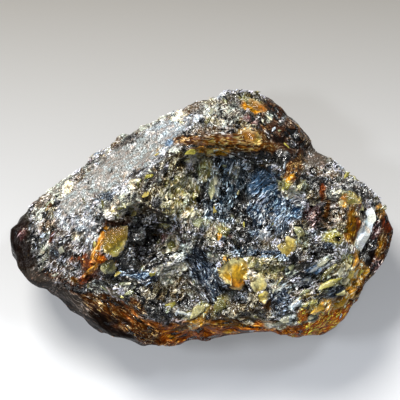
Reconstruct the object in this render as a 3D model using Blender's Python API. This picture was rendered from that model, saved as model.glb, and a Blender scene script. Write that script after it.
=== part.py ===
# Raw dark amber lump, lying on its weathered back with the broken face up.
# Metres, +Z up. X runs along the lump, Y across it, and z = 0 is the face it rests on.
# The origin is the middle of the lump's footprint box.
import math

import bmesh
import bpy
import numpy as np
from mathutils import Euler, Matrix, Vector, noise
from mathutils.kdtree import KDTree

MM = 0.001

# Driving dimensions, in millimetres
LENGTH = 95.5
WIDTH = 64.2
RIM_HEIGHT = 16.0
CROWN_HEIGHT = 37.5
BELLY_DEPTH = 2.2

# How the skin is meshed: steps round the rim and from crown to belly, voxel edge in millimetres
ANGLE_STEPS = 180
RING_STEPS = 36
CURVE_STEPS = 12
SKIN_CELL = 0.60
TRIANGLES = 9400

# The outline from above in millimetres, clockwise from the blunt left end
OUTLINE = [
    (-47.7, -5.6), (-47.0, -1.9), (-42.0, 4.1), (-37.5, 7.6), (-33.2, 10.4), (-29.7, 12.9),
    (-27.2, 15.9), (-22.0, 18.4), (-17.7, 21.4), (-7.5, 26.1), (3.0, 30.6), (9.5, 32.1),
    (16.7, 29.9), (22.7, 25.4), (26.7, 20.6), (28.0, 17.1), (32.7, 14.1), (38.7, 10.1),
    (44.7, 4.1), (47.7, -2.6), (46.5, -8.6), (42.5, -16.4), (37.5, -23.4), (33.5, -27.6),
    (28.7, -29.9), (21.0, -29.6), (11.2, -28.9), (5.0, -30.1), (-4.7, -31.6), (-13.0, -32.0),
    (-24.5, -28.9), (-30.7, -24.1), (-38.5, -18.4), (-44.7, -14.4), (-47.2, -9.4),
]

# Height of the widest line over RIM_HEIGHT at compass angles round the lump, in degrees and millimetres
RIM_RISE = [(-170, -1.0), (-120, 1.0), (-60, -1.5), (0, 0.5), (40, -2.5), (90, 1.0), (140, -1.5)]

# Flat breaks: a point on the break, and the way that it faces
BREAKS = {
    "rind_slope": ((-31.7, 0.6, 30.5), (-0.53, 0.67, 0.51)),
    "rind_top": ((-4.0, 20.5, 34.0), (-0.30, 0.70, 0.64)),
    "hump_back": ((10.0, 25.5, 32.0), (0.10, 0.70, 0.70)),
    "left_slope": ((-33.0, -6.0, 28.0), (-0.46, -0.10, 0.88)),
    "lower_left_slope": ((-26.0, -18.0, 26.5), (-0.26, -0.52, 0.81)),
    "bottom_roll": ((0.0, -27.0, 25.0), (0.02, -0.80, 0.60)),
    "right_roll": ((39.5, -6.0, 24.5), (0.62, -0.10, 0.78)),
    "right_shoulder": ((33.0, 8.0, 26.5), (0.36, 0.50, 0.79)),
    "right_heel": ((33.0, -21.5, 24.5), (0.46, -0.60, 0.65)),
    "back_left": ((-30.0, -4.0, 4.6), (-0.44, -0.05, -0.90)),
    "back_right": ((31.0, -2.0, 4.6), (0.38, 0.14, -0.91)),
    "back_top": ((4.0, 21.0, 6.0), (-0.10, 0.58, -0.81)),
    "back_bottom": ((-2.0, -22.0, 5.6), (0.10, -0.56, -0.82)),
}

# Struck scars: middle, half sizes and turn of the rounded bite that each one took
SCARS = {
    "front_break": ((2.0, -9.5, 61.0), (50.0, 27.5, 32.5), (0, 0, -2)),
    "bowl": ((10.0, 3.0, 39.0), (15.5, 13.5, 17.5), (0, -4, 0)),
    "bowl_left": ((1.5, 6.0, 37.5), (9.5, 11.0, 13.0), (0, 0, 14)),
    "under_brow": ((7.0, 8.8, 34.0), (18.0, 9.4, 8.8), (0, 0, 2)),
    "left_pocket": ((-10.4, -6.4, 35.0), (8.8, 7.0, 11.4), (0, 0, 10)),
    "pocket_tail": ((-15.0, -2.0, 35.5), (6.0, 5.6, 9.0), (0, 0, 24)),
    "lower_hollow": ((0.8, -14.6, 34.4), (5.4, 8.0, 9.0), (0, 0, 24)),
    "saddle": ((30.5, 18.5, 28.5), (7.0, 7.6, 11.0), (0, 0, -42)),
    "hump_end": ((29.0, 23.0, 36.5), (9.4, 11.5, 15.0), (0, 0, -24)),
    "shell_dish": ((32.5, -1.6, 35.4), (8.2, 10.4, 10.4), (0, 12, -16)),
    "mirror_chip": ((44.6, -3.4, 29.6), (4.2, 7.2, 8.4), (0, 0, -22)),
    "corner_hollow": ((25.5, -16.0, 36.0), (8.6, 5.4, 9.8), (0, 0, 20)),
    "rind_hollow": ((-24.0, 14.4, 31.4), (10.0, 3.6, 6.0), (0, 0, 34)),
    "left_flute": ((-33.0, -13.0, 33.0), (10.5, 4.4, 8.0), (0, 0, -28)),
    "tip_notch": ((-18.0, -17.5, 34.5), (7.4, 3.4, 8.2), (0, 0, -12)),
    "back_bite": ((-20.0, 24.0, 3.0), (17.0, 11.0, 8.5), (0, 0, 28)),
    "heel_bite": ((24.0, -28.0, 2.0), (17.0, 11.0, 9.5), (0, 0, 12)),
    "end_bite": ((-47.0, 2.0, 3.0), (9.0, 13.0, 8.0), (0, 0, -12)),
    "right_end_bite": ((49.0, 9.0, 3.0), (10.0, 13.0, 8.0), (0, 0, 24)),
}

# Chips, ribs and lips that stand up from the broken face: middle, half sizes and turn
CHIPS = {
    "left_lobe_chip": ((-23.2, -7.6, 29.4), (4.8, 6.6, 4.8), (8, -12, -28)),
    "honey_chip": ((7.8, -13.4, 29.8), (4.2, 4.3, 4.4), (10, 6, 15)),
    "twin_chip_upper": ((13.4, -16.2, 29.0), (2.6, 2.8, 3.4), (0, 15, 40)),
    "twin_chip_lower": ((15.2, -19.8, 28.4), (2.3, 3.0, 3.2), (-10, 0, 10)),
    "golden_chip": ((20.9, -7.2, 29.0), (3.1, 3.3, 3.6), (12, -8, 30)),
    "green_chip": ((24.0, -2.8, 28.8), (2.0, 2.9, 3.0), (0, 10, -18)),
    "bowl_lip": ((14.4, -9.8, 26.6), (6.6, 1.8, 3.2), (0, 0, 4)),
    "pocket_ridge": ((-11.6, -12.4, 26.8), (8.8, 1.8, 3.2), (0, 0, 22)),
    "bowl_wall": ((-4.6, 1.6, 27.4), (2.0, 7.0, 3.6), (0, 0, 12)),
    "fold_fin": ((22.2, 9.6, 28.2), (2.0, 4.8, 5.0), (0, 12, -24)),
    "brow_lip": ((8.4, 19.2, 32.6), (8.8, 1.9, 2.2), (0, 8, -8)),
    "lower_flake": ((4.4, -22.4, 27.0), (1.9, 3.2, 2.2), (0, 14, -16)),
    "rust_rib": ((-10.5, -23.4, 25.8), (10.5, 1.6, 2.8), (0, 0, -16)),
    "rim_rib": ((33.5, -18.4, 24.4), (8.6, 1.8, 3.0), (0, 8, 44)),
}

# How far a scar or a chip strays from its ball, as a share of its size
SCAR_STRAY = 0.16
CHIP_STRAY = 0.14

# Knapping: the small shell-like scars of the whole skin, as spacing, dish radius and lean
KNAPPING = [(8.5, 13.0, 0.10), (4.2, 6.5, 0.08)]


def clear_scene():
    for obj in list(bpy.data.objects):
        bpy.data.objects.remove(obj, do_unlink=True)


def smooth_closed(points):
    """A smooth closed curve through the points, with CURVE_STEPS steps between each pair."""
    before, after, beyond = (np.roll(points, shift, axis=0) for shift in (1, -1, -2))
    steps = []
    for t in np.arange(CURVE_STEPS) / CURVE_STEPS:
        steps.append(
            points
            + (after - before) * t / 2
            + (2 * before - 5 * points + 4 * after - beyond) * t ** 2 / 2
            + (3 * points - before - 3 * after + beyond) * t ** 3 / 2
        )
    return np.stack(steps, axis=1).reshape(-1, 2)


def outline_reach(angles):
    """The outline's distance from the middle at each angle."""
    curve = smooth_closed(np.array(OUTLINE))
    turns = np.arctan2(curve[:, 1], curve[:, 0])
    order = np.argsort(turns)
    return np.interp(angles, turns[order], np.hypot(*curve.T)[order], period=2 * math.pi)


def rim_height(angles):
    turns, rises = np.array(RIM_RISE).T
    return RIM_HEIGHT + np.interp(angles, np.radians(turns), rises, period=2 * math.pi)


def rough_lump():
    """A pillow on the outline: rings from the crown down to the rim, and on down to the belly."""
    angles = np.linspace(-math.pi, math.pi, ANGLE_STEPS, endpoint=False)
    reach, rim = outline_reach(angles), rim_height(angles)
    shape = bmesh.new()
    rings = []
    for ring in range(1, 2 * RING_STEPS):
        latitude = math.pi / 2 * (1 - ring / RING_STEPS)
        share = math.cos(latitude) ** 0.75
        swell = abs(math.sin(latitude)) ** 0.9
        pole = CROWN_HEIGHT if latitude > 0 else -BELLY_DEPTH
        heights = rim + (pole - rim) * swell
        points = zip(share * reach * np.cos(angles), share * reach * np.sin(angles), heights)
        rings.append([shape.verts.new(Vector(point) * MM) for point in points])
    crown = shape.verts.new((0, 0, CROWN_HEIGHT * MM))
    belly = shape.verts.new((0, 0, -BELLY_DEPTH * MM))
    for step in range(ANGLE_STEPS):
        shape.faces.new((crown, rings[0][step - 1], rings[0][step]))
        shape.faces.new((belly, rings[-1][step], rings[-1][step - 1]))
        for upper, lower in zip(rings, rings[1:]):
            shape.faces.new((upper[step - 1], lower[step - 1], lower[step], upper[step]))
    return mesh_from(shape, "rough_lump")


def mesh_from(shape, name):
    mesh = bpy.data.meshes.new(name)
    shape.to_mesh(mesh)
    shape.free()
    return mesh


def ball(name, half_sizes, subdivisions, stray, seed):
    """A closed ball with these half sizes, whose skin strays in and out so that no two are alike."""
    shape = bmesh.new()
    bmesh.ops.create_icosphere(shape, subdivisions=subdivisions, radius=1)
    for vert in shape.verts:
        where = vert.co * 1.7 + Vector((7.3 * seed, 0, 0))
        vert.co *= 1 + stray * (noise.noise(where) + 0.5 * noise.noise(where * 2.6)) * 1.6
    bmesh.ops.scale(shape, vec=Vector(half_sizes) * MM, verts=shape.verts)
    return mesh_from(shape, name)


def slab(name, half_side, depth):
    """A closed block whose top face lies on z = 0 when depth is negative, or whose bottom face does."""
    shape = bmesh.new()
    bmesh.ops.create_cube(shape, size=MM)
    bmesh.ops.scale(shape, vec=(2 * half_side, 2 * half_side, abs(depth)), verts=shape.verts)
    bmesh.ops.translate(shape, vec=(0, 0, depth * MM / 2), verts=shape.verts)
    return mesh_from(shape, name)


def helper(name, mesh, folder, middle, turn):
    obj = bpy.data.objects.new(name, mesh)
    folder.objects.link(obj)
    obj.location = Vector(middle) * MM
    obj.rotation_euler = turn
    obj.hide_render = True
    obj.display_type = "WIRE"


def folder_named(name):
    folder = bpy.data.collections.new(name)
    bpy.context.scene.collection.children.link(folder)
    return folder


def degrees(turn):
    return Euler([math.radians(angle) for angle in turn])


def scar_cutters():
    """The rounded bites and the flat breaks that are taken out of the lump."""
    folder = folder_named("scars")
    for seed, (name, (middle, half_sizes, turn)) in enumerate(SCARS.items()):
        helper(name, ball(name, half_sizes, 4, SCAR_STRAY, seed), folder, middle, degrees(turn))
    for name, (middle, facing) in BREAKS.items():
        turn = Vector(facing).to_track_quat("Z", "Y").to_euler()
        helper(name, slab(name, 90, 40), folder, middle, turn)
    return folder


def raised_chips():
    folder = folder_named("chips")
    for seed, (name, (middle, half_sizes, turn)) in enumerate(CHIPS.items()):
        helper(name, ball(name, half_sizes, 2, CHIP_STRAY, seed), folder, middle, degrees(turn))
    return folder


def boolean(obj, name, operation, folder):
    modifier = obj.modifiers.new(name, "BOOLEAN")
    modifier.operation = operation
    modifier.operand_type = "COLLECTION"
    modifier.collection = folder
    modifier.solver = "EXACT"


def as_evaluated(obj):
    graph = bpy.context.evaluated_depsgraph_get()
    return bpy.data.meshes.new_from_object(obj.evaluated_get(graph))


def knapped_depth(points, spacing, dish_radius, lean, seed):
    """How far each point sinks: every cell is a leaning dish, and the lowest dish at a point wins."""
    chance = np.random.default_rng(seed)
    low, high = points.min(axis=0) - spacing, points.max(axis=0) + spacing
    count = int(np.prod((high - low) / spacing))
    cells = chance.uniform(low, high, (count, 3))
    leans = chance.normal(0, lean, (count, 3))
    sinks = chance.uniform(0, spacing / 16, count)
    tree = KDTree(count)
    for index, cell in enumerate(cells):
        tree.insert(cell, index)
    tree.balance()
    near = np.array([[index for _, index, _ in tree.find_n(point, 5)] for point in points])
    away = points[:, None, :] - cells[near]
    dishes = (away ** 2).sum(axis=2) / (2 * dish_radius) + (away * leans[near]).sum(axis=2) - sinks[near]
    depth = dishes.min(axis=1)
    return depth - np.median(depth)


def knap(mesh):
    for seed, (spacing, dish_radius, lean) in enumerate(KNAPPING):
        points = np.empty(len(mesh.vertices) * 3)
        facing = np.empty(len(mesh.vertices) * 3)
        mesh.vertices.foreach_get("co", points)
        mesh.vertices.foreach_get("normal", facing)
        points = points.reshape(-1, 3) / MM
        sink = knapped_depth(points, spacing, dish_radius, lean, seed)
        points += facing.reshape(-1, 3) * np.clip(sink, -0.9, 0.45)[:, None]
        mesh.vertices.foreach_set("co", (points * MM).ravel())
        mesh.update()


def fit_to_size(mesh):
    """Brings the skin back to LENGTH and WIDTH, centred on the origin, and leaves its heights alone."""
    points = np.empty(len(mesh.vertices) * 3)
    mesh.vertices.foreach_get("co", points)
    low, high = (edge(points.reshape(-1, 3), axis=0) for edge in (np.min, np.max))
    scale = np.array([LENGTH, WIDTH]) * MM / (high - low)[:2]
    mesh.transform(Matrix.Translation((-(low[0] + high[0]) / 2, -(low[1] + high[1]) / 2, 0)))
    mesh.transform(Matrix.Diagonal((*scale, 1, 1)))


def amber_material():
    material = bpy.data.materials.new("dark_amber")
    material.use_nodes = True
    shader = material.node_tree.nodes["Principled BSDF"]
    shader.inputs["Base Color"].default_value = (0.060, 0.034, 0.014, 1)
    shader.inputs["Roughness"].default_value = 0.35
    shader.inputs["Metallic"].default_value = 0.0
    return material


def struck_mesh():
    """The lump with its breaks, scars and chips, in an even skin of small faces."""
    lump = bpy.data.objects.new("rough_lump", rough_lump())
    bpy.context.scene.collection.objects.link(lump)
    boolean(lump, "scars", "DIFFERENCE", scar_cutters())
    boolean(lump, "chips", "UNION", raised_chips())
    skin = lump.modifiers.new("skin", "REMESH")
    skin.mode = "VOXEL"
    skin.voxel_size = SKIN_CELL * MM
    mesh = as_evaluated(lump)
    bpy.data.objects.remove(lump)
    return mesh


def build():
    clear_scene()
    mesh = struck_mesh()
    knap(mesh)
    fit_to_size(mesh)
    amber = bpy.data.objects.new("raw_amber", mesh)
    bpy.context.scene.collection.objects.link(amber)
    mesh.materials.append(amber_material())
    fewer = amber.modifiers.new("fewer_faces", "DECIMATE")
    fewer.ratio = TRIANGLES / sum(len(face.vertices) - 2 for face in mesh.polygons)
    table = folder_named("table")
    helper("below_rest_face", slab("below_rest_face", 70, -20), table, (0, 0, 0), Euler())
    boolean(amber, "rest_face", "DIFFERENCE", table)


build()
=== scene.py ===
# Raw dark amber: the finished skin of the lump, its loose crumbs and clear chips, and the floor, lights and camera.
# Lengths are in millimetres, and MM turns them into metres. Only the floor and the lights are laid out in metres.
import math

import bmesh
import bpy
import numpy as np
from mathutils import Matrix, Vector, geometry, noise
from mathutils.kdtree import KDTree


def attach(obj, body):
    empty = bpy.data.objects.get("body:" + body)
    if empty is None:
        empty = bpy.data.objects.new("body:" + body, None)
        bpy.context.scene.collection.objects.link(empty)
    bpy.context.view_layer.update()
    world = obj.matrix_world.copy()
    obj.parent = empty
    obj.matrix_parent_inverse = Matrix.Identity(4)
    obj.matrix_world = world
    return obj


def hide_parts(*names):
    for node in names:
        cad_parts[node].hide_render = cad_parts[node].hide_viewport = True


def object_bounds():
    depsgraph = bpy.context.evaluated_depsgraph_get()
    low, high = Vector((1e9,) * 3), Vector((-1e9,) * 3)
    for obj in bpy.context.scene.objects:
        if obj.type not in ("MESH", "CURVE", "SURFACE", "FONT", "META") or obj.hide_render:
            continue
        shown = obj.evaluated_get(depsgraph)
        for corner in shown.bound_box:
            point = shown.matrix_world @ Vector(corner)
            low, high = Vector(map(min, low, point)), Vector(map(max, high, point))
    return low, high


MM = 0.001
LUMP = "raw_amber"

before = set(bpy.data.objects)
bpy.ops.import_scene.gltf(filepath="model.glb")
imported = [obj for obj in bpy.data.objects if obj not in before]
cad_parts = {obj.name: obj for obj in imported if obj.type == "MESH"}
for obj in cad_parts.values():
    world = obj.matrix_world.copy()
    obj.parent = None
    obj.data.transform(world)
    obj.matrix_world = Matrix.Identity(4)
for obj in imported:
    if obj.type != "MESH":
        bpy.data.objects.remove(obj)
cad_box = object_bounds()

# The skin's mesh, the heights where the rind ends and the broken face begins, the scars and splinters that are
# struck into it, and the crushed resin that lies on it
SKIN_CELL = 0.36
SMOOTHING = 6
BACK_KEEP = 0.60
BACK_LEVELS = 4
RIND_HEIGHT = 14.5
FACE_HEIGHT = 20
SCARS = [
    {"spacing": 6.5, "dish": 8.0, "lean": 0.16, "deepest": 0.9, "seed": 10},
    {"spacing": 3.2, "dish": 3.0, "lean": 0.22, "deepest": 0.7, "seed": 11},
]
SPLINTER_SPACING = 1.15
SPLINTER_LEAN = 0.42
GRAIN_RELIEF = 0.30
CRUMBS = 4600
SLIVERS = 4600
CRUMB_SHAPES = 12
CRUMB_CORNERS = 8

# The scattered flakes, and the chips: how fine their faces are, how many flat breaks their crown has, how much
# wider than its outline each one is, the share of its thickness that is sunk, and how much narrower its foot is
FLAKES = 80
FLAKE_CORNERS = 8
CHIP_CELL = 0.42
CHIP_BREAKS = 12
CHIP_SPREAD = 1.06
CHIP_SUNK = 0.75
CHIP_FOOT = 0.85

# Finishes of the skin, in the order of its material slots
FRESH, BRUISED, RIND, SKIN = range(4)

# What each stretch of the skin is made of: its finish where it isn't clear, ground colour, stain colour and share,
# crumb colour and share, share that is clear resin, and how many loose crumbs lie on it
FINISH, GROUND, STAIN, STAINED, CRUMB, CRUMBED, CLEAR, LOOSE = range(8)
MAKEUPS = {
    "broken_face": (BRUISED, "1C1919", "383427", 0.38, "C4C6D9", 0.19, 0.30, 0.35),
    "back_rind": (RIND, "2E2620", "5A4C3E", 0.50, "8A7E6E", 0.15, 0.0, 0.05),
    "dark_bowl": (BRUISED, "0E1D2D", "162737", 0.40, "CCE3FA", 0.1, 0.35, 0.12),
    "blue_wall": (BRUISED, "182C42", "406185", 0.45, "A9C3EA", 0.18, 0.20, 0.16),
    # White crumbs where the bowl's wall faces the light: crushed resin, and partly painted glints
    "frost_and_glint_bowl": (BRUISED, "010B1B", "0B2846", 0.45, "A1BFDF", 0.20, 0.25, 0.40),
    "deep_blue": (BRUISED, "040D21", "0B192C", 0.40, "97ABC6", 0.12, 0.35, 0.12),
    # Near-black: dark pits, and also the painted shadow under the brow
    "black_pit_and_painted_shadow": (BRUISED, "160C0B", "161410", 0.30, "979DAB", 0.07, 0.50, 0.08),
    "pale_ridge": (BRUISED, "1B1B16", "5E6765", 0.45, "C9D2D1", 0.34, 0.10, 0.9),
    "fibres": (BRUISED, "332215", "797242", 0.45, "DDD9BF", 0.24, 0.15, 0.5),
    "olive_face": (BRUISED, "170900", "342707", 0.45, "AEA78D", 0.18, 0.25, 0.5),
    "grey_lobe": (BRUISED, "050202", "372D24", 0.45, "ABACBA", 0.26, 0.20, 0.9),
    "brown_end": (SKIN, "040100", "0C0402", 0.45, "30241C", 0.03, 0.0, 0.0),
    "cream_hump": (BRUISED, "141210", "504A48", 0.42, "C7CBC4", 0.32, 0.10, 1.0),
    "hump_end": (SKIN, "110703", "2D170D", 0.42, "7A6046", 0.06, 0.45, 0.12),
    "crust": (RIND, "363539", "818387", 0.55, "A7A8B0", 0.28, 0.0, 0.10),
    "blue_crust": (RIND, "464042", "818894", 0.60, "B8BDC7", 0.32, 0.0, 0.10),
    "crust_edge": (BRUISED, "0F1111", "787775", 0.50, "CBD0C4", 0.30, 0.10, 0.9),
    "dark_patch": (SKIN, "1E1E21", "3E3D40", 0.40, "B4B4B6", 0.18, 0.25, 0.3),
    "saddle": (RIND, "472E15", "483E36", 0.50, "B3B1B9", 0.16, 0.0, 0.0),
    "brow_band": (SKIN, "470E01", "4C2902", 0.50, "6E5A23", 0.22, 0.22, 0.05),
    "green_grain": (BRUISED, "282011", "524A28", 0.45, "97A396", 0.24, 0.20, 0.4),
    "lemon_grain": (BRUISED, "7E5214", "847B3C", 0.50, "B8BD9E", 0.26, 0.10, 0.3),
    "honey_grain": (BRUISED, "5B2100", "C68B02", 0.52, "D1DFC5", 0.20, 0.10, 0.12),
    "orange_window": (SKIN, "5E3A00", "B87C06", 0.52, "E8BC48", 0.14, 0.10, 0.0),
    "amber_rim": (SKIN, "1E0800", "6B4300", 0.50, "B6983E", 0.10, 0.20, 0.04),
    "rust_rim": (SKIN, "050100", "3F1E00", 0.45, "BB9A63", 0.10, 0.25, 0.06),
    "rust_band": (SKIN, "150300", "8F4300", 0.50, "FFAE22", 0.14, 0.15, 0.04),
    "shells": (BRUISED, "1F0A05", "463219", 0.50, "B9B2AE", 0.20, 0.25, 0.3),
    # A bluish white painted reflection of the light on a smooth facet
    "painted_reflection": (SKIN, "8CA4B8", "D4E2EE", 0.50, "FFFFFF", 0.45, 0.0, 0.0),
    "lavender_ridge": (BRUISED, "0F1823", "6A6F7B", 0.50, "C8CCD7", 0.34, 0.05, 0.9),
    "cream_colony": (BRUISED, "3A3326", "A4ADA0", 0.45, "E1E1DA", 0.44, 0.10, 1.8),
    # Pale crumb colonies, many of them also painted light on spots that lie in shade
    "white_colony_and_painted_light": (BRUISED, "595644", "E2DBBF", 0.45, "F7F4EB", 0.52, 0.05, 2.2),
    "straw": (SKIN, "340C00", "7B3B08", 0.50, "EF9E4D", 0.30, 0.05, 0.2),
    "brick_band": (SKIN, "220301", "B95809", 0.50, "FFF951", 0.16, 0.15, 0.06),
    "red_end": (SKIN, "090101", "3F1705", 0.45, "9C3D19", 0.05, 0.30, 0.0),
    "maroon": (BRUISED, "2F0F0E", "4B2628", 0.45, "BCA1A2", 0.08, 0.35, 0.15),
    "vein": (SKIN, "542E0A", "A66A1C", 0.55, "D6B05E", 0.22, 0.0, 0.0),
    "vein_edge": (SKIN, "280C05", "602A10", 0.50, "B07030", 0.12, 0.05, 0.0),
    "back_tan": (RIND, "3A2C1E", "80684A", 0.52, "AE9C80", 0.24, 0.0, 0.0),
    "back_dark": (SKIN, "120A06", "2C1A10", 0.50, "6E563C", 0.12, 0.0, 0.0),
    "back_rust": (RIND, "2C1608", "6A3A14", 0.52, "A87C48", 0.18, 0.0, 0.0),
    "bark": (RIND, "020101", "271D14", 0.48, "6E605F", 0.20, 0.0, 0.08),
    # Near-black skin, also laid by which way the face turns, on faces turned down and away from the window: painted
    # shade
    "dull_skin_and_underside_shade": (RIND, "010000", "0A0302", 0.50, "966B55", 0.06, 0.0, 0.0),
}

# Makeups that come up again in small blotches all over the broken face
BLOTCHES = (
    "dark_bowl", "deep_blue", "deep_blue", "black_pit_and_painted_shadow", "black_pit_and_painted_shadow", "pale_ridge", "fibres", "olive_face",
    "olive_face", "grey_lobe", "olive_face", "maroon", "green_grain", "lemon_grain", "honey_grain", "rust_rim",
    "shells", "blue_wall",
)

# Makeups that come up again on the weathered back
BACK_BLOTCHES = ("back_rind", "back_tan", "back_dark", "back_rust", "bark", "back_dark")

# Hues that loose crumbs lean to, whatever they lie on
CRUMB_HUES = ("FFFFFF", "F2F4F8", "B4C6DA", "D9D7C0", "C2BE6A", "77733A", "A87828", "6C5224", "4C3C30", "2C3440")

# Makeups whose surface is worn or smooth
CALM = ("crust", "blue_crust", "saddle", "painted_reflection", "back_rind", "dull_skin_and_underside_shade", "brown_end", "bark", "back_tan",
        "back_dark", "back_rust")

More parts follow.
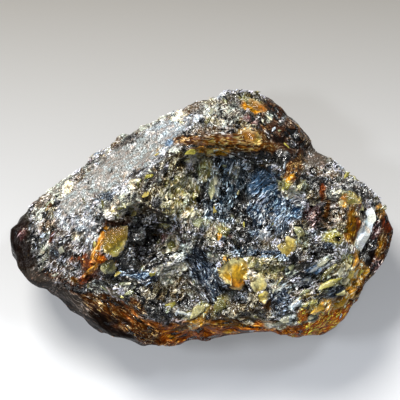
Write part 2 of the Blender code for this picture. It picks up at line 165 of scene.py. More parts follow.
# Where each makeup lies on the broken face, seen from above: middle, half length, half width and turn of each
# patch, and the seed of its ragged border
PATCHES = {
    "dark_bowl": [(5.8, 7.4, 6.5, 9, 0, 71), (9.5, -8.1, 2.5, 1.5, 10, 91), (0.8, 1.2, 1, 2.2, 0, 96)],
    "blue_wall": [(-8, 18.4, 1.2, 0.8, 10, 6), (15, 8.4, 4, 3, 30, 79), (27.2, -12.6, 2, 1, 30, 262)],
    # Partly painted glints: white crumbs where the bowl's wall faces the light
    "frost_and_glint_bowl": [
        (6, 12.1, 1.2, 1.2, 0, 74), (18.2, 3.6, 3.5, 3, 40, 80), (12.5, 1.6, 2.5, 2, 20, 81),
        (20.8, 1.4, 4, 2.4, 0, 82), (15, -8.6, 5.5, 1, -5, 98), (-16.5, -13.7, 5, 0.9, -2, 112),
    ],
    "deep_blue": [
        (-23, 5.5, 2.8, 1, 16, 10), (18.6, -2.1, 2.8, 2.2, 0, 83), (20.2, 1.1, 1.5, 1.3, 0, 84),
        (14, -0.6, 2.2, 2, 0, 87), (12.5, -3.6, 1.7, 1.5, 0, 89), (-35.8, -8.5, 3.4, 3, 0, 126),
        (0.6, -13.5, 8.6, 3.4, -58, 150), (-13, -15.1, 2.5, 1.5, 20, 153), (19, -19.6, 2.5, 3.5, 10, 162),
        (33.2, -18.1, 2.8, 1.8, 10, 198), (30.8, -7.1, 1.5, 1.2, 0, 264),
    ],
    "black_pit_and_painted_shadow": [
        (-17.9, 19.9, 1.4, 0.8, 30, 8), (-16.6, 10.5, 1, 0.6, 20, 13), (-25.5, 0.2, 2, 1.3, 30, 37),
        (20, 24.6, 1.2, 3, -30, 48), (22.8, 18.1, 1.8, 1.5, 0, 54), (19.8, 15.6, 2, 1.2, 0, 56),
        # The first patch on the next line, the long dark band under the brow, is a painted shadow
        (15, 14.4, 8.5, 1, -4, 67), (-0.5, 4.9, 1, 3.5, 0, 78), (11, -1.1, 1.4, 1.8, 0, 85),
        (10.8, -4.8, 3.6, 3.6, 0, 88), (10.2, 3.1, 1.2, 4.5, 0, 90), (7.8, -3.6, 1.3, 1.5, 0, 93),
        (-15.8, -4, 4.5, 3, 10, 104), (-13.1, 6.9, 2.6, 1.7, 60, 105), (-11.2, 3.9, 1.4, 1.5, 60, 106),
        (-14.5, -10, 7, 2.4, 0, 107), (-41.6, -7.6, 2.2, 3.2, 0, 125), (-0.2, -17.4, 1.6, 1.6, -50, 151),
        (-11.2, -22.1, 2.5, 2, 0, 158), (40.5, -9.6, 2, 2.2, -20, 215), (42, -7, 1.2, 2.4, -20, 216),
        (39, 5.8, 1.8, 1.3, -25, 229), (28, 9.2, 2.4, 1.3, -10, 235), (29, -8.4, 3, 1.8, 25, 257),
        (27.8, -7.2, 1.8, 1.3, 25, 258), (22.9, -9.5, 1.5, 1, 0, 259),
    ],
    "pale_ridge": [
        (17, 25.4, 1.2, 1.4, -25, 49), (3, 7.1, 1.5, 3.2, -8, 76), (-4.5, -8.4, 3, 1.1, 45, 109),
        (21.5, -24.9, 2, 1.5, 0, 164), (21.8, -13.2, 1.6, 1, 20, 246), (29.8, -10.6, 2, 1, 25, 261),
    ],
    "fibres": [(-5.8, 5.6, 6, 5, 60, 100), (15.8, -12.6, 5, 3, 10, 161)],
    "olive_face": [
        (-37.2, 2.2, 1.5, 1, 50, 32), (2.2, 29, 2.2, 1.2, 0, 42), (11, 22.6, 2.5, 0.8, -20, 60),
        (2.2, -4.4, 1.3, 1.2, 0, 94), (-12.4, 6.2, 5.4, 3.2, 75, 101), (-6, 13.4, 3, 2, 60, 102),
        (-9.2, -17.6, 6.5, 3.5, 0, 152), (10.8, -23.9, 6, 3, 0, 163), (38.8, 0.9, 1, 2.2, -30, 219),
        (34.2, -1.6, 1.2, 1.8, 20, 226), (26.8, 5.4, 1.5, 1.5, 0, 242), (24.8, -1.6, 1.6, 1.4, 0, 245),
        (12.5, -19.4, 1.5, 1.3, 0, 249), (2.4, -23.2, 1.4, 1, 0, 250), (-4.8, -24.1, 1.6, 0.9, -10, 251),
        (25.2, -19.4, 1.8, 1, 30, 253),
    ],
    "grey_lobe": [(-33.5, -9.4, 9.5, 9.5, 0, 117), (40.8, 4.9, 1.5, 1.8, 0, 232)],
    "brown_end": [
        # The first patch, a thin dark line at the crust's lower edge, is a painted shadow in the gap there
        (-14.6, 11.5, 3.4, 0.35, 22, 9), (19, 19.3, 1.8, 1, -20, 55), (-42.8, -7.6, 1.5, 1.9, 0, 114),
        (-46, -5.6, 3.2, 7.6, -12, 129), (-46.4, -2.6, 1.6, 3, -12, 130), (-43.4, -10.4, 3, 4, 25, 132),
        (-25.4, -24, 5.2, 2, -34, 169), (-18.6, -25.9, 3.6, 0.9, -36, 171), (-22.2, -24.9, 3.4, 1.3, -36, 172),
        (-26.2, -22.2, 2.8, 1.2, -34, 173), (-19, -29.2, 3.6, 1.5, -30, 174), (-21.5, -28.6, 6, 1.4, -32, 176),
        (11, -28, 3.2, 0.7, -8, 182), (41.8, -8.9, 1.3, 2, -20, 203), (41, -11, 1.4, 1.6, -20, 205),
        (12.6, -23.1, 2, 1.3, 0, 248),
    ],
    "cream_hump": [
        (-11.2, 9.4, 1.5, 1.1, 60, 14), (-40.2, 1.6, 2, 1.6, 50, 30), (-7.2, 16.4, 1.4, 1.1, 20, 39),
        (4, 25.6, 5.5, 3.5, -5, 41), (-17.8, -16.4, 1.7, 1.2, -10, 113), (-26, -17.2, 2.6, 1.4, -20, 149),
        (-4.6, -22.8, 3, 1, -15, 154),
    ],
    "hump_end": [
        (19.2, 26.4, 5, 5, -50, 47), (23.8, 20.1, 4, 7, -28, 50), (18.4, 21.2, 2.4, 2.4, 0, 57),
        (-37.4, -13.6, 2.4, 1.6, -34, 118), (-32.6, -16.4, 3.6, 1.8, -34, 137), (-21, -1.1, 3, 0.8, 0, 147),
    ],
    "crust": [(-19.2, 13.6, 14, 4.2, 35, 0), (-31, 4.4, 5.5, 2.8, 38, 1)],
    "blue_crust": [(-10.5, 21.9, 4, 1.5, 28, 2), (-6, 22.6, 2, 1.2, 20, 3), (-8.4, 20.2, 3, 1.5, 28, 4)],
    "crust_edge": [
        (-13, 24.1, 15, 1.2, 28, 16), (-26.8, 17.1, 10, 1, 42, 17), (-36.8, 7.9, 6, 1.8, 48, 18),
        (-35.5, 5.9, 1.5, 1.2, 30, 23), (-18, 3.6, 3, 1.2, 30, 28), (-22.5, 3.4, 6, 1.2, 30, 36),
        (23.8, 25.9, 3.5, 0.6, -55, 53), (32, 5.6, 1.5, 1, 0, 243), (18, -17.2, 1.4, 1.2, 0, 255),
    ],
    "dark_patch": [
        (-17.8, 19.4, 2, 1.2, 30, 7), (-16.2, 9.9, 1.2, 0.6, 0, 12), (-25.5, 1.4, 2.5, 1.2, 35, 33),
        (36.2, 7.9, 2.8, 2, -20, 230),
    ],
    "saddle": [(28.2, 15.4, 3, 3.5, -30, 233)],
    "brow_band": [
        (8.2, 17.9, 13.5, 2.4, -3, 65), (-31.6, -15.2, 2, 1, -34, 119), (-5.5, -27.4, 2.4, 0.8, 20, 184),
        (7.5, -25, 2.6, 0.9, -15, 186), (37, -5, 0.5, 1.4, 20, 223),
    ],
    "green_grain": [
        (-38, 2.9, 1.5, 1.2, 60, 22), (-1.2, 0.6, 1.6, 1.4, 20, 77), (0, -1.1, 1.5, 1.5, 0, 95),
        (-4.2, 3.1, 2.8, 1.2, 62, 103), (31.8, -13.1, 3.5, 0.8, 30, 197), (24.5, 7.9, 1.5, 1.5, 0, 239),
        (24.5, -5.1, 2, 2, 30, 244),
    ],
    "lemon_grain": [
        (12, 29.1, 2.2, 1, -15, 45), (0.8, 11.4, 2, 2.2, 0, 72), (5.2, -3.2, 1.5, 1.4, 0, 92),
        (-0.2, -23.1, 2.2, 1.8, 45, 159), (4.8, -20.8, 1.5, 2.2, -25, 160), (32, -16.1, 3.2, 1.2, 25, 196),
        (35.8, -10.6, 2.2, 1.5, -40, 206), (35.8, 5.2, 2.2, 1.2, -25, 227), (37.2, 10.9, 1.8, 0.8, -40, 231),
        (20.1, 8, 1.7, 1.1, 55, 238), (35.8, -15.6, 1.7, 1.1, 25, 252), (26.8, -21.4, 2, 1.1, 20, 256),
        (32, -4.6, 2.2, 1.8, 0, 263),
    ],
    "honey_grain": [
        (-5, 23.1, 0.9, 0.5, 30, 27), (11, 20.6, 3.2, 1.2, -20, 59), (0.8, 16, 2.6, 1, 0, 68),
        (4.2, 16.4, 2.4, 0.8, 0, 69), (-1.2, -25.4, 4.2, 2.2, 50, 187), (28.5, -22.6, 6, 1.5, 22, 192),
        (35.5, -19.6, 3.8, 1.6, 48, 193), (38.5, -12.6, 3.2, 5.2, -12, 200), (37, -14.4, 1.6, 1.8, -10, 201),
        (44.2, 1.6, 1.2, 1.5, 0, 212), (34.8, 3.6, 1.2, 1, 0, 228), (21.6, 10.2, 2.8, 0.6, 62, 237),
    ],
    "orange_window": [
        (12.8, 27.2, 2.6, 1.2, -12, 46), (-7.5, -29.6, 2.2, 0.5, -20, 181), (7, -28.4, 2.4, 0.5, 0, 183),
        (37.1, -14.2, 1.2, 1.3, -10, 202),
    ],
    "amber_rim": [
        (7.5, -26.1, 6, 1, 0, 190), (44.2, -7, 1, 3, -18, 213), (37, -1.9, 1.9, 4.4, 5, 220),
        (36.4, -4.2, 1.4, 1.6, 10, 222),
    ],
    "rust_rim": [
        (19.5, 29.4, 3.5, 1, -30, 51), (15.2, 22.4, 1.8, 0.9, -35, 58), (14.4, 19.6, 1.2, 1.2, -45, 63),
        (-3.8, 19.1, 3.5, 1.1, 5, 66), (-21, -22.4, 6.5, 2, -36, 166), (-16.2, -21.7, 2.6, 1.3, -36, 167),
        (-24.5, -22.9, 8.5, 2.2, -32, 168), (-15.5, -27.4, 9.5, 3.4, -28, 170), (42.8, -14.9, 1.8, 4.2, -25, 207),
        (39.6, -18, 1.8, 3, -42, 208), (41.3, -15.4, 1.3, 1.8, -35, 209), (44.8, -8.6, 3, 6.5, -14, 210),
        (30.6, 1.6, 0.8, 2.6, -14, 225), (22.6, 12.2, 5.4, 1.9, 62, 236), (16.2, -20.9, 1.2, 1.2, 0, 247),
    ],
    "rust_band": [
        (-25, -9.8, 1.2, 1.4, 60, 139), (-9.5, -27.9, 4.5, 1, -36, 175), (0, -28.6, 15.5, 3.2, 4, 179),
        (15, -27.6, 10, 2.2, -2, 189),
    ],
    "shells": [
        (-30.5, 9.9, 1.4, 0.9, 40, 20), (-21.2, 18.6, 1.2, 0.6, 40, 21), (-39.2, 4.4, 2.2, 1.8, 40, 25),
        (-3, 26.9, 2.2, 0.8, 20, 26), (-38.4, 5.2, 1.4, 1.2, 30, 31), (3.2, 21.3, 7.5, 0.8, 7, 64),
        (-20, -0.4, 2.2, 1, 20, 116), (-38.5, -2.1, 2.5, 1.5, 0, 128), (32.8, 0.4, 3.6, 3.6, 0, 224),
        (29, 11.2, 4.5, 1.4, -20, 234),
    ],
    # Painted reflection round the facet that reflects the light
    "painted_reflection": [(23, -20.9, 2, 0.7, 40, 191), (40.3, -3, 1.4, 5.2, -24, 217), (38.8, -4.8, 0.9, 2.2, -20, 218)],
    "lavender_ridge": [
        (-10.5, 15.1, 3.5, 1, 42, 5), (-20, 7.1, 3, 0.8, 30, 11), (-13.5, 11.6, 2.5, 0.6, 40, 15),
        (-35.5, 1.9, 0.8, 2, 10, 24), (-27.5, 2.1, 1.2, 0.8, 30, 34), (3.8, 30.1, 1.5, 1.2, 40, 43),
        (-1.5, 24.1, 2.2, 1, 15, 44), (15.5, -4.1, 1.4, 1.2, 0, 86), (-29.2, -2.6, 6.8, 2.2, 38, 120),
        (-33, -1.1, 2, 1.5, 30, 121), (-26.6, -4.6, 1.6, 1.2, 60, 122), (25.5, -15.4, 1.9, 1.2, 20, 254),
        (23.5, 4.4, 1.5, 1.2, 30, 260),
    ],
    "cream_colony": [
        (2.8, -9.4, 1.6, 1.2, 20, 110), (-8.4, -15.8, 1.6, 1, 0, 111), (-38.5, -8.1, 1.6, 4.6, -12, 124),
        # This colony lies on a spot that faces down into shade: painted light
        (27, -24.8, 1.9, 1.1, 10, 165),
    ],
    # Several of these are painted light: pale paint on spots in shade under the brow or beside the crust's edge
    "white_colony_and_painted_light": [
        (-33.4, 7.2, 1.8, 1, 30, 19), (-17.6, 3.1, 2.8, 1.3, 20, 29), (-21.2, 1.8, 2.6, 1.3, 10, 35),
        (-16.5, 8.4, 1.4, 1, 30, 38), (-6, 25.1, 1.7, 0.9, 28, 40), (3, 23.9, 2.1, 1, 0, 62),
        (-1.6, 14.5, 2.4, 1.5, 0, 70), (3.6, 9.2, 2, 3, 0, 73), (7.9, 10.8, 2.9, 1.3, 75, 75),
        (-3, 0.2, 1.7, 1.3, 0, 97), (-7.4, -6.3, 2.2, 1.5, 60, 108), (-7.4, -12.5, 3.8, 1.6, 10, 115),
        (-30.8, -4.4, 1.9, 1.4, 30, 123), (12.9, -12.8, 2, 1.8, 0, 155), (11.5, -11, 1.5, 1.2, 0, 156),
        (17.8, -26.7, 3.4, 1.2, 0, 157), (35.8, -13.2, 2.2, 2.4, -10, 199), (21.4, 6.4, 2, 1.4, 0, 240),
    ],
    "straw": [
        (-26.5, -10.6, 1.2, 0.6, 20, 143), (-14.8, -24.9, 7, 0.45, -40, 177), (-18.5, -24.4, 5, 0.35, -38, 178),
    ],
    "brick_band": [(25.2, -24.1, 2.2, 1.5, 20, 194), (30, -26.1, 10.5, 3.2, 30, 195)],
    "red_end": [
        (-37, -5.1, 0.8, 1.8, -20, 127), (-28.5, -14.9, 2.5, 1.2, 30, 148), (-4.5, -29.4, 3, 0.7, 10, 180),
        (-0.5, -28.3, 2.2, 0.8, 10, 185), (2.5, -29.6, 6.5, 1, 5, 188), (46.2, -1.6, 1.5, 2.2, -10, 211),
    ],
    "maroon": [
        (12.8, 23.1, 2.4, 1.1, -30, 61), (27.2, 0.9, 2.2, 3, 0, 99), (-45, -4.1, 1.3, 2.7, -10, 131),
        (43.2, -3.2, 1, 2.4, -20, 204), (43.8, -11.4, 2, 3, -30, 214),
    ],
    "vein": [(-24.2, -4.4, 2.8, 0.8, 70, 141), (-26, -8.8, 2.8, 0.9, 72, 142), (-27.2, -12.9, 3.2, 0.8, 48, 144)],
    "vein_edge": [
        (-31.8, -10.1, 1.8, 1.2, 0, 138), (-27.8, -11.6, 3.2, 2.6, -60, 140), (-28.6, -14.6, 2.5, 1, 48, 145),
        (-29.2, -9.6, 2.2, 0.9, 20, 146), (38.2, -0.6, 0.6, 3.4, -4, 221), (29.3, 6.6, 0.5, 2, 0, 241),
    ],
    "bark": [(-38, -16.4, 8.5, 2.2, -34, 134), (-31, -20.9, 7.5, 2, -36, 135)],
    "dull_skin_and_underside_shade": [(26, 22.9, 5, 0.9, -62, 52), (-38, -19.6, 11.5, 2, -36, 133), (-27.5, -26.9, 7.5, 1.8, -33, 136)],
}

# Which way the grain of the break runs: middle, half length, half width and turn of the place, then the run as an
# angle, or as the middle of the rings that it makes, and how much longer than wide its streaks are
GRAINS = [
    (4.5, 5, 8, 11, 0, 80, 5),
    (18, 3, 8, 10, 0, (27, -5), 3),
    (-8, 5, 6, 7, 0, 62, 4),
    (1.5, -14, 5, 8, 20, -58, 5),
    (-12, -11.5, 10, 3, 20, 20, 4),
    (-33, -8, 13, 14, 20, 52, 2.5),
    (-27, -9, 3.5, 8, -25, 64, 6),
    (-22, -25, 19, 6.5, -34, -38, 6),
    (-5, -28.6, 7, 4.5, 20, 26, 6),
    (9, -27.6, 10, 4, 0, -12, 6),
    (34, -24, 12, 5, 36, 36, 5),
    (33, 0.2, 5, 5.5, 0, (31.5, 0.2), 4),
    (38, 0, 4.5, 9, -10, 80, 4),
    (27, -15.5, 9, 6, 25, 30, 4),
    (42, -4, 3, 7, -20, 66, 5),
    (8, 17.5, 16, 3.2, -3, -3, 6),
    (20, 23, 6, 8, -30, -48, 3),
    (22, 9.5, 3.5, 5, -24, 60, 3),
    (45, -12, 3.5, 9, -12, 70, 4),
    (38, -12, 4, 7, -20, 62, 5),
]

# Chips that stand on the broken face, all clear but one opaque facet, which is a painted reflection of the light:
# corners of the outline seen from above, thickness, the way that the hue changes across them, and their hues along
# it
CHIPS = {
    "honey_chip": (
        [(3.5, -12.4), (5.1, -10.9), (7.6, -9.5), (10.2, -10.1), (11.8, -13.1), (11.0, -15.1),
         (9.2, -17.3), (7.4, -17.1), (5.5, -15.9), (4.2, -13.9)],
        4.6, -62, ("pale_lemon", "honey", "orange")),
    "twin_chip_upper": (
        [(11.9, -15.9), (12.8, -14.4), (14.0, -13.6), (15.2, -14.8), (15.8, -16.4), (15.0, -17.6),
         (13.5, -18.4), (12.4, -17.4)],
        3.0, -60, ("cream", "pale_lemon", "straw")),
    "twin_chip_lower": (
        [(13.5, -18.6), (15.0, -17.8), (16.0, -18.1), (16.0, -19.4), (15.0, -20.8), (13.8, -20.6)],
        3.0, -70, ("lemon", "straw", "pale_lemon")),
    "golden_chip": (
        [(18.5, -6.8), (20.7, -4.6), (22.8, -5.4), (23.0, -7.0), (21.6, -8.8), (20.7, -9.5), (18.9, -8.1)],
        3.6, -40, ("khaki", "straw", "khaki")),
    "green_chip": (
        [(22.4, -1.9), (24.2, -2.3), (25.0, -4.3), (23.6, -4.8), (22.8, -3.5)],
        2.4, -60, ("olive", "pale_green", "olive")),
    "lobe_chip_upper": (
        [(-22.5, -2.1), (-18.2, -2.1), (-18.5, -5.4), (-19.4, -7.7), (-20.8, -9.1), (-22.5, -9.1),
         (-24.0, -7.9), (-24.5, -6.4), (-23.8, -3.6)],
        4.0, -55, ("umber", "khaki", "lemon")),
    "lobe_chip_lower": (
        [(-24.5, -11.1), (-23.0, -9.6), (-21.5, -10.4), (-20.8, -12.1), (-21.8, -13.4), (-23.5, -13.4),
         (-24.8, -12.4)],
        3.0, -80, ("brown", "olive", "pale_green")),
    "crescent_chip": (
        [(33.2, 4.6), (34.8, 6.1), (37.2, 5.4), (39.2, 3.6), (39.5, 1.9), (38.0, 2.1), (36.0, 3.1),
         (34.0, 2.9)],
        2.8, -20, ("orange", "olive", "lemon")),
    "painted_reflection_facet": (
        [(40.2, 1.6), (41.7, 2.4), (42.6, 0.9), (42.7, -1.0), (42.0, -2.0), (41.8, -3.6), (40.8, -5.4),
         (39.4, -8.0), (37.9, -7.1), (38.1, -4.4), (39.4, -2.2), (40.5, -0.8)],
        2.0, -110, ("reflection_white", "ice", "reflection_white")),
    "brow_lens": (
        [(8.8, 20.6), (11.0, 21.6), (13.5, 20.8), (15.0, 18.6), (14.0, 17.4), (12.0, 18.1), (9.8, 18.9)],
        2.6, -30, ("brown", "umber", "lemon")),
    "hump_window": (
        [(10.4, 28.8), (12.2, 29.3), (14.6, 28.3), (16.4, 26.6), (15.6, 25.8), (13.0, 26.8), (11.0, 27.6)],
        2.4, -35, ("olive", "umber", "orange")),
}

# Cloudy flakes that show one by one: middle, half length, half width, run and hue. Many pale ones are painted light
# on spots that lie in shade, and the thin ice strokes are painted glint lines
SHOWN_FLAKES = [
    (-7.2, -6.4, 2, 1.2, 70, "olive"), (-7.4, -21, 2.1, 1, 30, "lemon"), (4.6, -21, 2.6, 1.2, 62, "olive"),
    (-0.8, -22.6, 2.3, 1.3, 48, "pale_lemon"), (5.2, -3, 1.4, 1.1, 20, "olive"),
    (-17.7, -17.8, 1.7, 1, -10, "pale_green"), (21.8, -12.4, 1.2, 0.8, 80, "pale_green"),
    (31.8, -4, 1.6, 1.1, 10, "lemon"), (31.6, -13.4, 3.4, 0.7, 31, "olive"), (31.6, -16, 3, 1, 24, "lemon"),
    (34.4, -21.6, 3.4, 1, 36, "honey"), (-0.8, -0.8, 2, 1.4, 30, "pale_green"),
    (2.6, 7.2, 2.8, 1, 80, "pale_green"), (0.4, 11.6, 1.6, 1.2, 20, "olive"), (-38.2, 2.8, 1.2, 0.8, 50, "brown"),
    (29.8, -10.8, 1.8, 0.8, 25, "bone"), (27.2, -12.6, 1.8, 0.8, 30, "ice"), (22.6, -20.8, 2, 0.6, 40, "ice"),
    (23.8, 7.6, 1.4, 0.7, 60, "pale_green"), (-2.4, 15.6, 1.8, 0.9, 10, "lemon"), (20.4, -25.2, 1.6, 1, 20, "bone"),
    (-17.4, 3.2, 1.4, 0.7, 20, "bone"), (35.8, -12.2, 1.5, 0.9, 70, "cream"), (-6.8, -12.4, 1.3, 0.6, 10, "bone"),
    (25.5, -15.4, 1.6, 0.7, 20, "ice"), (-0.8, 14.6, 1.5, 0.7, 10, "straw"),
    (13.3, -12.9, 1.4, 0.9, 30, "pale_lemon"), (36.4, -14.8, 1.5, 0.9, 60, "straw"),
    (35.4, -16, 1.6, 0.7, 25, "cream"), (27, -24.8, 1.5, 0.8, 20, "bone"), (3.6, 9.6, 1.7, 0.8, 80, "bone"),
    (18.8, -26.4, 1.6, 0.8, 0, "bone"), (8, 10.4, 2, 0.6, 75, "ice"), (34.4, -13.2, 1.4, 0.7, 60, "bone"),
    (7.6, 12.4, 2.8, 0.3, 75, "ice"), (19.8, 13, 1.2, 0.3, 80, "ice"), (18, 22, 1.5, 0.4, 70, "ice"),
    (1.2, 15.8, 1.8, 0.8, 5, "straw"), (12.4, -11.9, 1.6, 1, 0, "pale_lemon"), (20.3, 8, 1.5, 0.8, 60, "lemon"),
    (29, -22.4, 2.6, 1, 20, "honey"), (34.2, -18.8, 1.4, 0.7, 20, "pale_lemon"),
    (-13.4, 9.8, 1.2, 0.8, 20, "lemon"), (-4.8, -22.9, 1.8, 0.6, -15, "ice"), (-25, -5.4, 1.8, 0.5, 65, "amber"),
    (-26, -9, 1.6, 0.5, 80, "umber"), (-27.4, -12.6, 1.7, 0.4, 48, "amber"), (-29, -14.6, 1.2, 0.4, 48, "orange"),
    (-29.6, -9.8, 1, 0.3, 20, "brown"), (-25.6, -7.4, 0.9, 0.5, 30, "cream"),
]

# Hues of clear and cloudy resin
RESIN_HUES = {
    "cream": "ECE2B4", "bone": "D2D2B8", "ice": "C4D2E0", "pale_lemon": "CCC68C", "lemon": "B4AC48",
    "pale_green": "9CA27A", "olive": "7C7840", "straw": "CCB860", "honey": "D8AA28", "amber": "E8A418",
    "orange": "DC8408", "brown": "805414", "khaki": "9A7A14", "umber": "A8701C", "reflection_white": "F4FAFF",
}

# The bruised resin under the chips, which throws light back through them
BED_COLOUR = "F2DA94"

# How wide the spots of each pattern in the materials are: first those that run along the grain, then the others
CLOUD, HUE, FOLD, SPECK, GLINT, DUST = 2.0, 0.9091, 0.8696, 0.4167, 0.3333, 0.2778
BLUSH, CHIP_CRACK, PIT, CRUMB_CRACK = 1.5385, 0.6667, 0.4348, 0.3333

# Settings of a node that mixes two colours, and of one that multiplies them
MIX = {"data_type": "RGBA"}
MULTIPLY = {"data_type": "RGBA", "blend_type": "MULTIPLY"}


def linear(hex_colour):
    """An sRGB hex colour as linear red, green, blue and alpha."""
    shares = [int(hex_colour[i:i + 2], 16) / 255 for i in (0, 2, 4)]
    return tuple(s / 12.92 if s <= 0.04045 else ((s + 0.055) / 1.055) ** 2.4 for s in shares) + (1.0,)


def read_points(mesh):
    """Where the mesh's points are, in millimetres."""
    points = np.empty(len(mesh.vertices) * 3)
    mesh.vertices.foreach_get("co", points)
    return points.reshape(-1, 3) / MM


def write_points(mesh, points):
    mesh.vertices.foreach_set("co", (points * MM).astype(np.float32).ravel())
    mesh.update()


def read_facing(mesh):
    """Which way the skin faces at each point."""
    facing = np.empty(len(mesh.vertices) * 3)
    mesh.vertices.foreach_get("normal", facing)
    return facing.reshape(-1, 3)


def write_colours(mesh, name, colours, extra):
    """Gives each point a colour, and one more number in the place of its alpha."""
    layer = mesh.color_attributes.new(name, "FLOAT_COLOR", "POINT")
    layer.data.foreach_set("color", np.column_stack([colours, extra]).astype(np.float32).ravel())


def evaluated_mesh(obj):
    graph = bpy.context.evaluated_depsgraph_get()
    return bpy.data.meshes.new_from_object(obj.evaluated_get(graph))


def mesh_of(name, shape):
    """Turns a bmesh into a mesh, and lets the bmesh go."""
    mesh = bpy.data.meshes.new(name)
    shape.to_mesh(mesh)
    shape.free()
    return mesh


def new_object(name, mesh):
    obj = bpy.data.objects.new(name, mesh)
    bpy.context.scene.collection.objects.link(obj)
    return obj


def cloudy(points, size, seed):
    """Soft noise from about -1 to 1, whose clouds are this many millimetres across."""
    shift = np.array([seed * 17.3, seed * 5.1, -seed * 9.7])
    return np.array([noise.noise(place) for place in (points / size + shift).tolist()])


def step_between(values, low, high):
    """0 up to low, 1 from high, and smooth between them. Where high is below low it goes the other way."""
    t = np.clip((values - low) / (high - low), 0, 1)
    return t * t * (3 - 2 * t)


def in_patch(points, x, y, half_length, half_width, turn):
    """1 in the middle of an oval patch, 0 on its edge and below 0 outside, seen from above."""
    cos, sin = math.cos(math.radians(turn)), math.sin(math.radians(turn))
    x, y = points[:, 0] - x, points[:, 1] - y
    return 1 - np.hypot((x * cos + y * sin) / half_length, (y * cos - x * sin) / half_width)


def near_cells(points, spacing, chance, count, stretch=1.0):
    """Cells scattered on the skin, and for each point its nearest few."""
    area_share = len(points) * SKIN_CELL ** 2 / spacing ** 2 / stretch
    cells = points[chance.choice(len(points), int(area_share), replace=False)]
    cells = cells + chance.normal(0, spacing * 0.25, cells.shape)
    tree = KDTree(len(cells))
    for index, cell in enumerate(cells):
        tree.insert(cell, index)
    tree.balance()
    found = np.array([[index for _, index, _ in tree.find_n(point, count)] for point in points])
    return cells, found


def struck(points, spacing, dish, lean, deepest, seed):
    """How far each point sinks into shell-like scars: each cell is a leaning dish and the lowest one wins."""
    chance = np.random.default_rng(seed)
    cells, near = near_cells(points, spacing, chance, 5)
    leans = chance.normal(0, lean, cells.shape)
    sinks = chance.uniform(0, deepest / 2, len(cells))
    away = points[:, None, :] - cells[near]
    dishes = (away ** 2).sum(axis=2) / (2 * dish) + (away * leans[near]).sum(axis=2) - sinks[near]
    depth = dishes.min(axis=1)
    return np.clip(depth - np.median(depth), -deepest, deepest / 2)


def grain(points):
    """The way that the grain runs at each point, and coordinates that go across it and along it."""
    weights = [0.05 + 0 * points[:, 0]]
    weights += [in_patch(points, *place[:5]) + 0.1 * cloudy(points, 3.0, 50 + index)
                for index, place in enumerate(GRAINS)]
    best = np.argmax(weights, axis=0)
    points = points + 0.7 * np.stack([cloudy(points, 2.6, 81), cloudy(points, 2.6, 82), 0 * points[:, 0]], axis=1)
    runs = np.tile([0.8, 0.6, 0.0], (len(points), 1))
    coordinates = points * [1.0, 0.75, 1.0]
    for index, (*_, run, stretch) in enumerate(GRAINS):
        here = best == index + 1
        x, y, z = points[here].T
        if isinstance(run, tuple):
            x, y = x - run[0], y - run[1]
            reach = np.hypot(x, y) + 0.01
            runs[here] = np.stack([-y / reach, x / reach, 0 * z], axis=1)
            across, along = reach, np.arctan2(y, x) * 5.0
        else:
            cos, sin = math.cos(math.radians(run)), math.sin(math.radians(run))
            runs[here] = (cos, sin, 0)
            across, along = y * cos - x * sin, x * cos + y * sin
        coordinates[here] = np.stack([across, along / stretch, z / 2 + index * 7.0], axis=1)
    return runs, coordinates


def weather_back(skin):
    """Dents the back as old rind is dented, and gives it larger faces than the broken face has."""
    points, facing = read_points(skin.data), read_facing(skin.data)
    dents = 0.45 * cloudy(points, 5.5, 21) + 0.20 * cloudy(points, 2.0, 22) - 0.12 * np.abs(cloudy(points, 0.9, 23))
    dents = dents * step_between(facing[:, 2], 0.3, -0.2) * step_between(points[:, 2], 0.3, 2.0)
    write_points(skin.data, points + facing * dents[:, None])
    behind = step_between(facing[:, 2], 0.1, -0.3) * step_between(points[:, 2], 22, 14)
    back = skin.vertex_groups.new(name="back")
    for level in range(1, BACK_LEVELS + 1):
        here = np.where(np.round(behind * BACK_LEVELS) == level)[0]
        back.add(here.tolist(), level / BACK_LEVELS, "REPLACE")
    thin = skin.modifiers.new("coarser_back", "DECIMATE")
    thin.ratio = BACK_KEEP
    thin.vertex_group = back.name
    thin.vertex_group_factor = 10.0


def even_skin(node):
    """The solid's own shape in small even faces, with its facets eased away."""
    shape = bmesh.new()
    shape.from_mesh(node.data)
    bmesh.ops.remove_doubles(shape, verts=shape.verts, dist=0.01 * MM)
    skin = new_object("skin", mesh_of("skin", shape))
    remesh = skin.modifiers.new("even", "REMESH")
    remesh.mode = "VOXEL"
    remesh.voxel_size = SKIN_CELL * MM
    smooth = skin.modifiers.new("eased", "SMOOTH")
    smooth.factor = 0.5
    smooth.iterations = SMOOTHING
    skin.data = evaluated_mesh(skin)
    skin.modifiers.clear()
    weather_back(skin)
    mesh = evaluated_mesh(skin)
    bpy.data.objects.remove(skin)
    mesh.materials.clear()
    return mesh


def rind_share(points, facing):
    """1 on the weathered back and sides, 0 on the broken face."""
    edge = RIND_HEIGHT + 4.0 * cloudy(points, 8, 3) + 1.5 * cloudy(points, 2.2, 4)
    edge = edge - 8.0 * np.clip(facing[:, 2], -1, 1)
    return step_between(points[:, 2], edge + 1.2, edge - 1.2)


def patch_weights(points):
    """How strongly each patch claims each point, with soft ragged borders."""
    weights = []
    for patches in PATCHES.values():
        for x, y, half_length, half_width, turn, seed in patches:
            weight = in_patch(points, x, y, half_length, half_width, turn) + 1 / (2 + half_length * half_width)
            near = weight > -0.6
            ragged = 0.24 * cloudy(points[near], 2.4, 100 + seed)
            weight[near] += ragged + 0.14 * cloudy(points[near], 0.9, 200 + seed)
            weights.append(weight)
    return weights


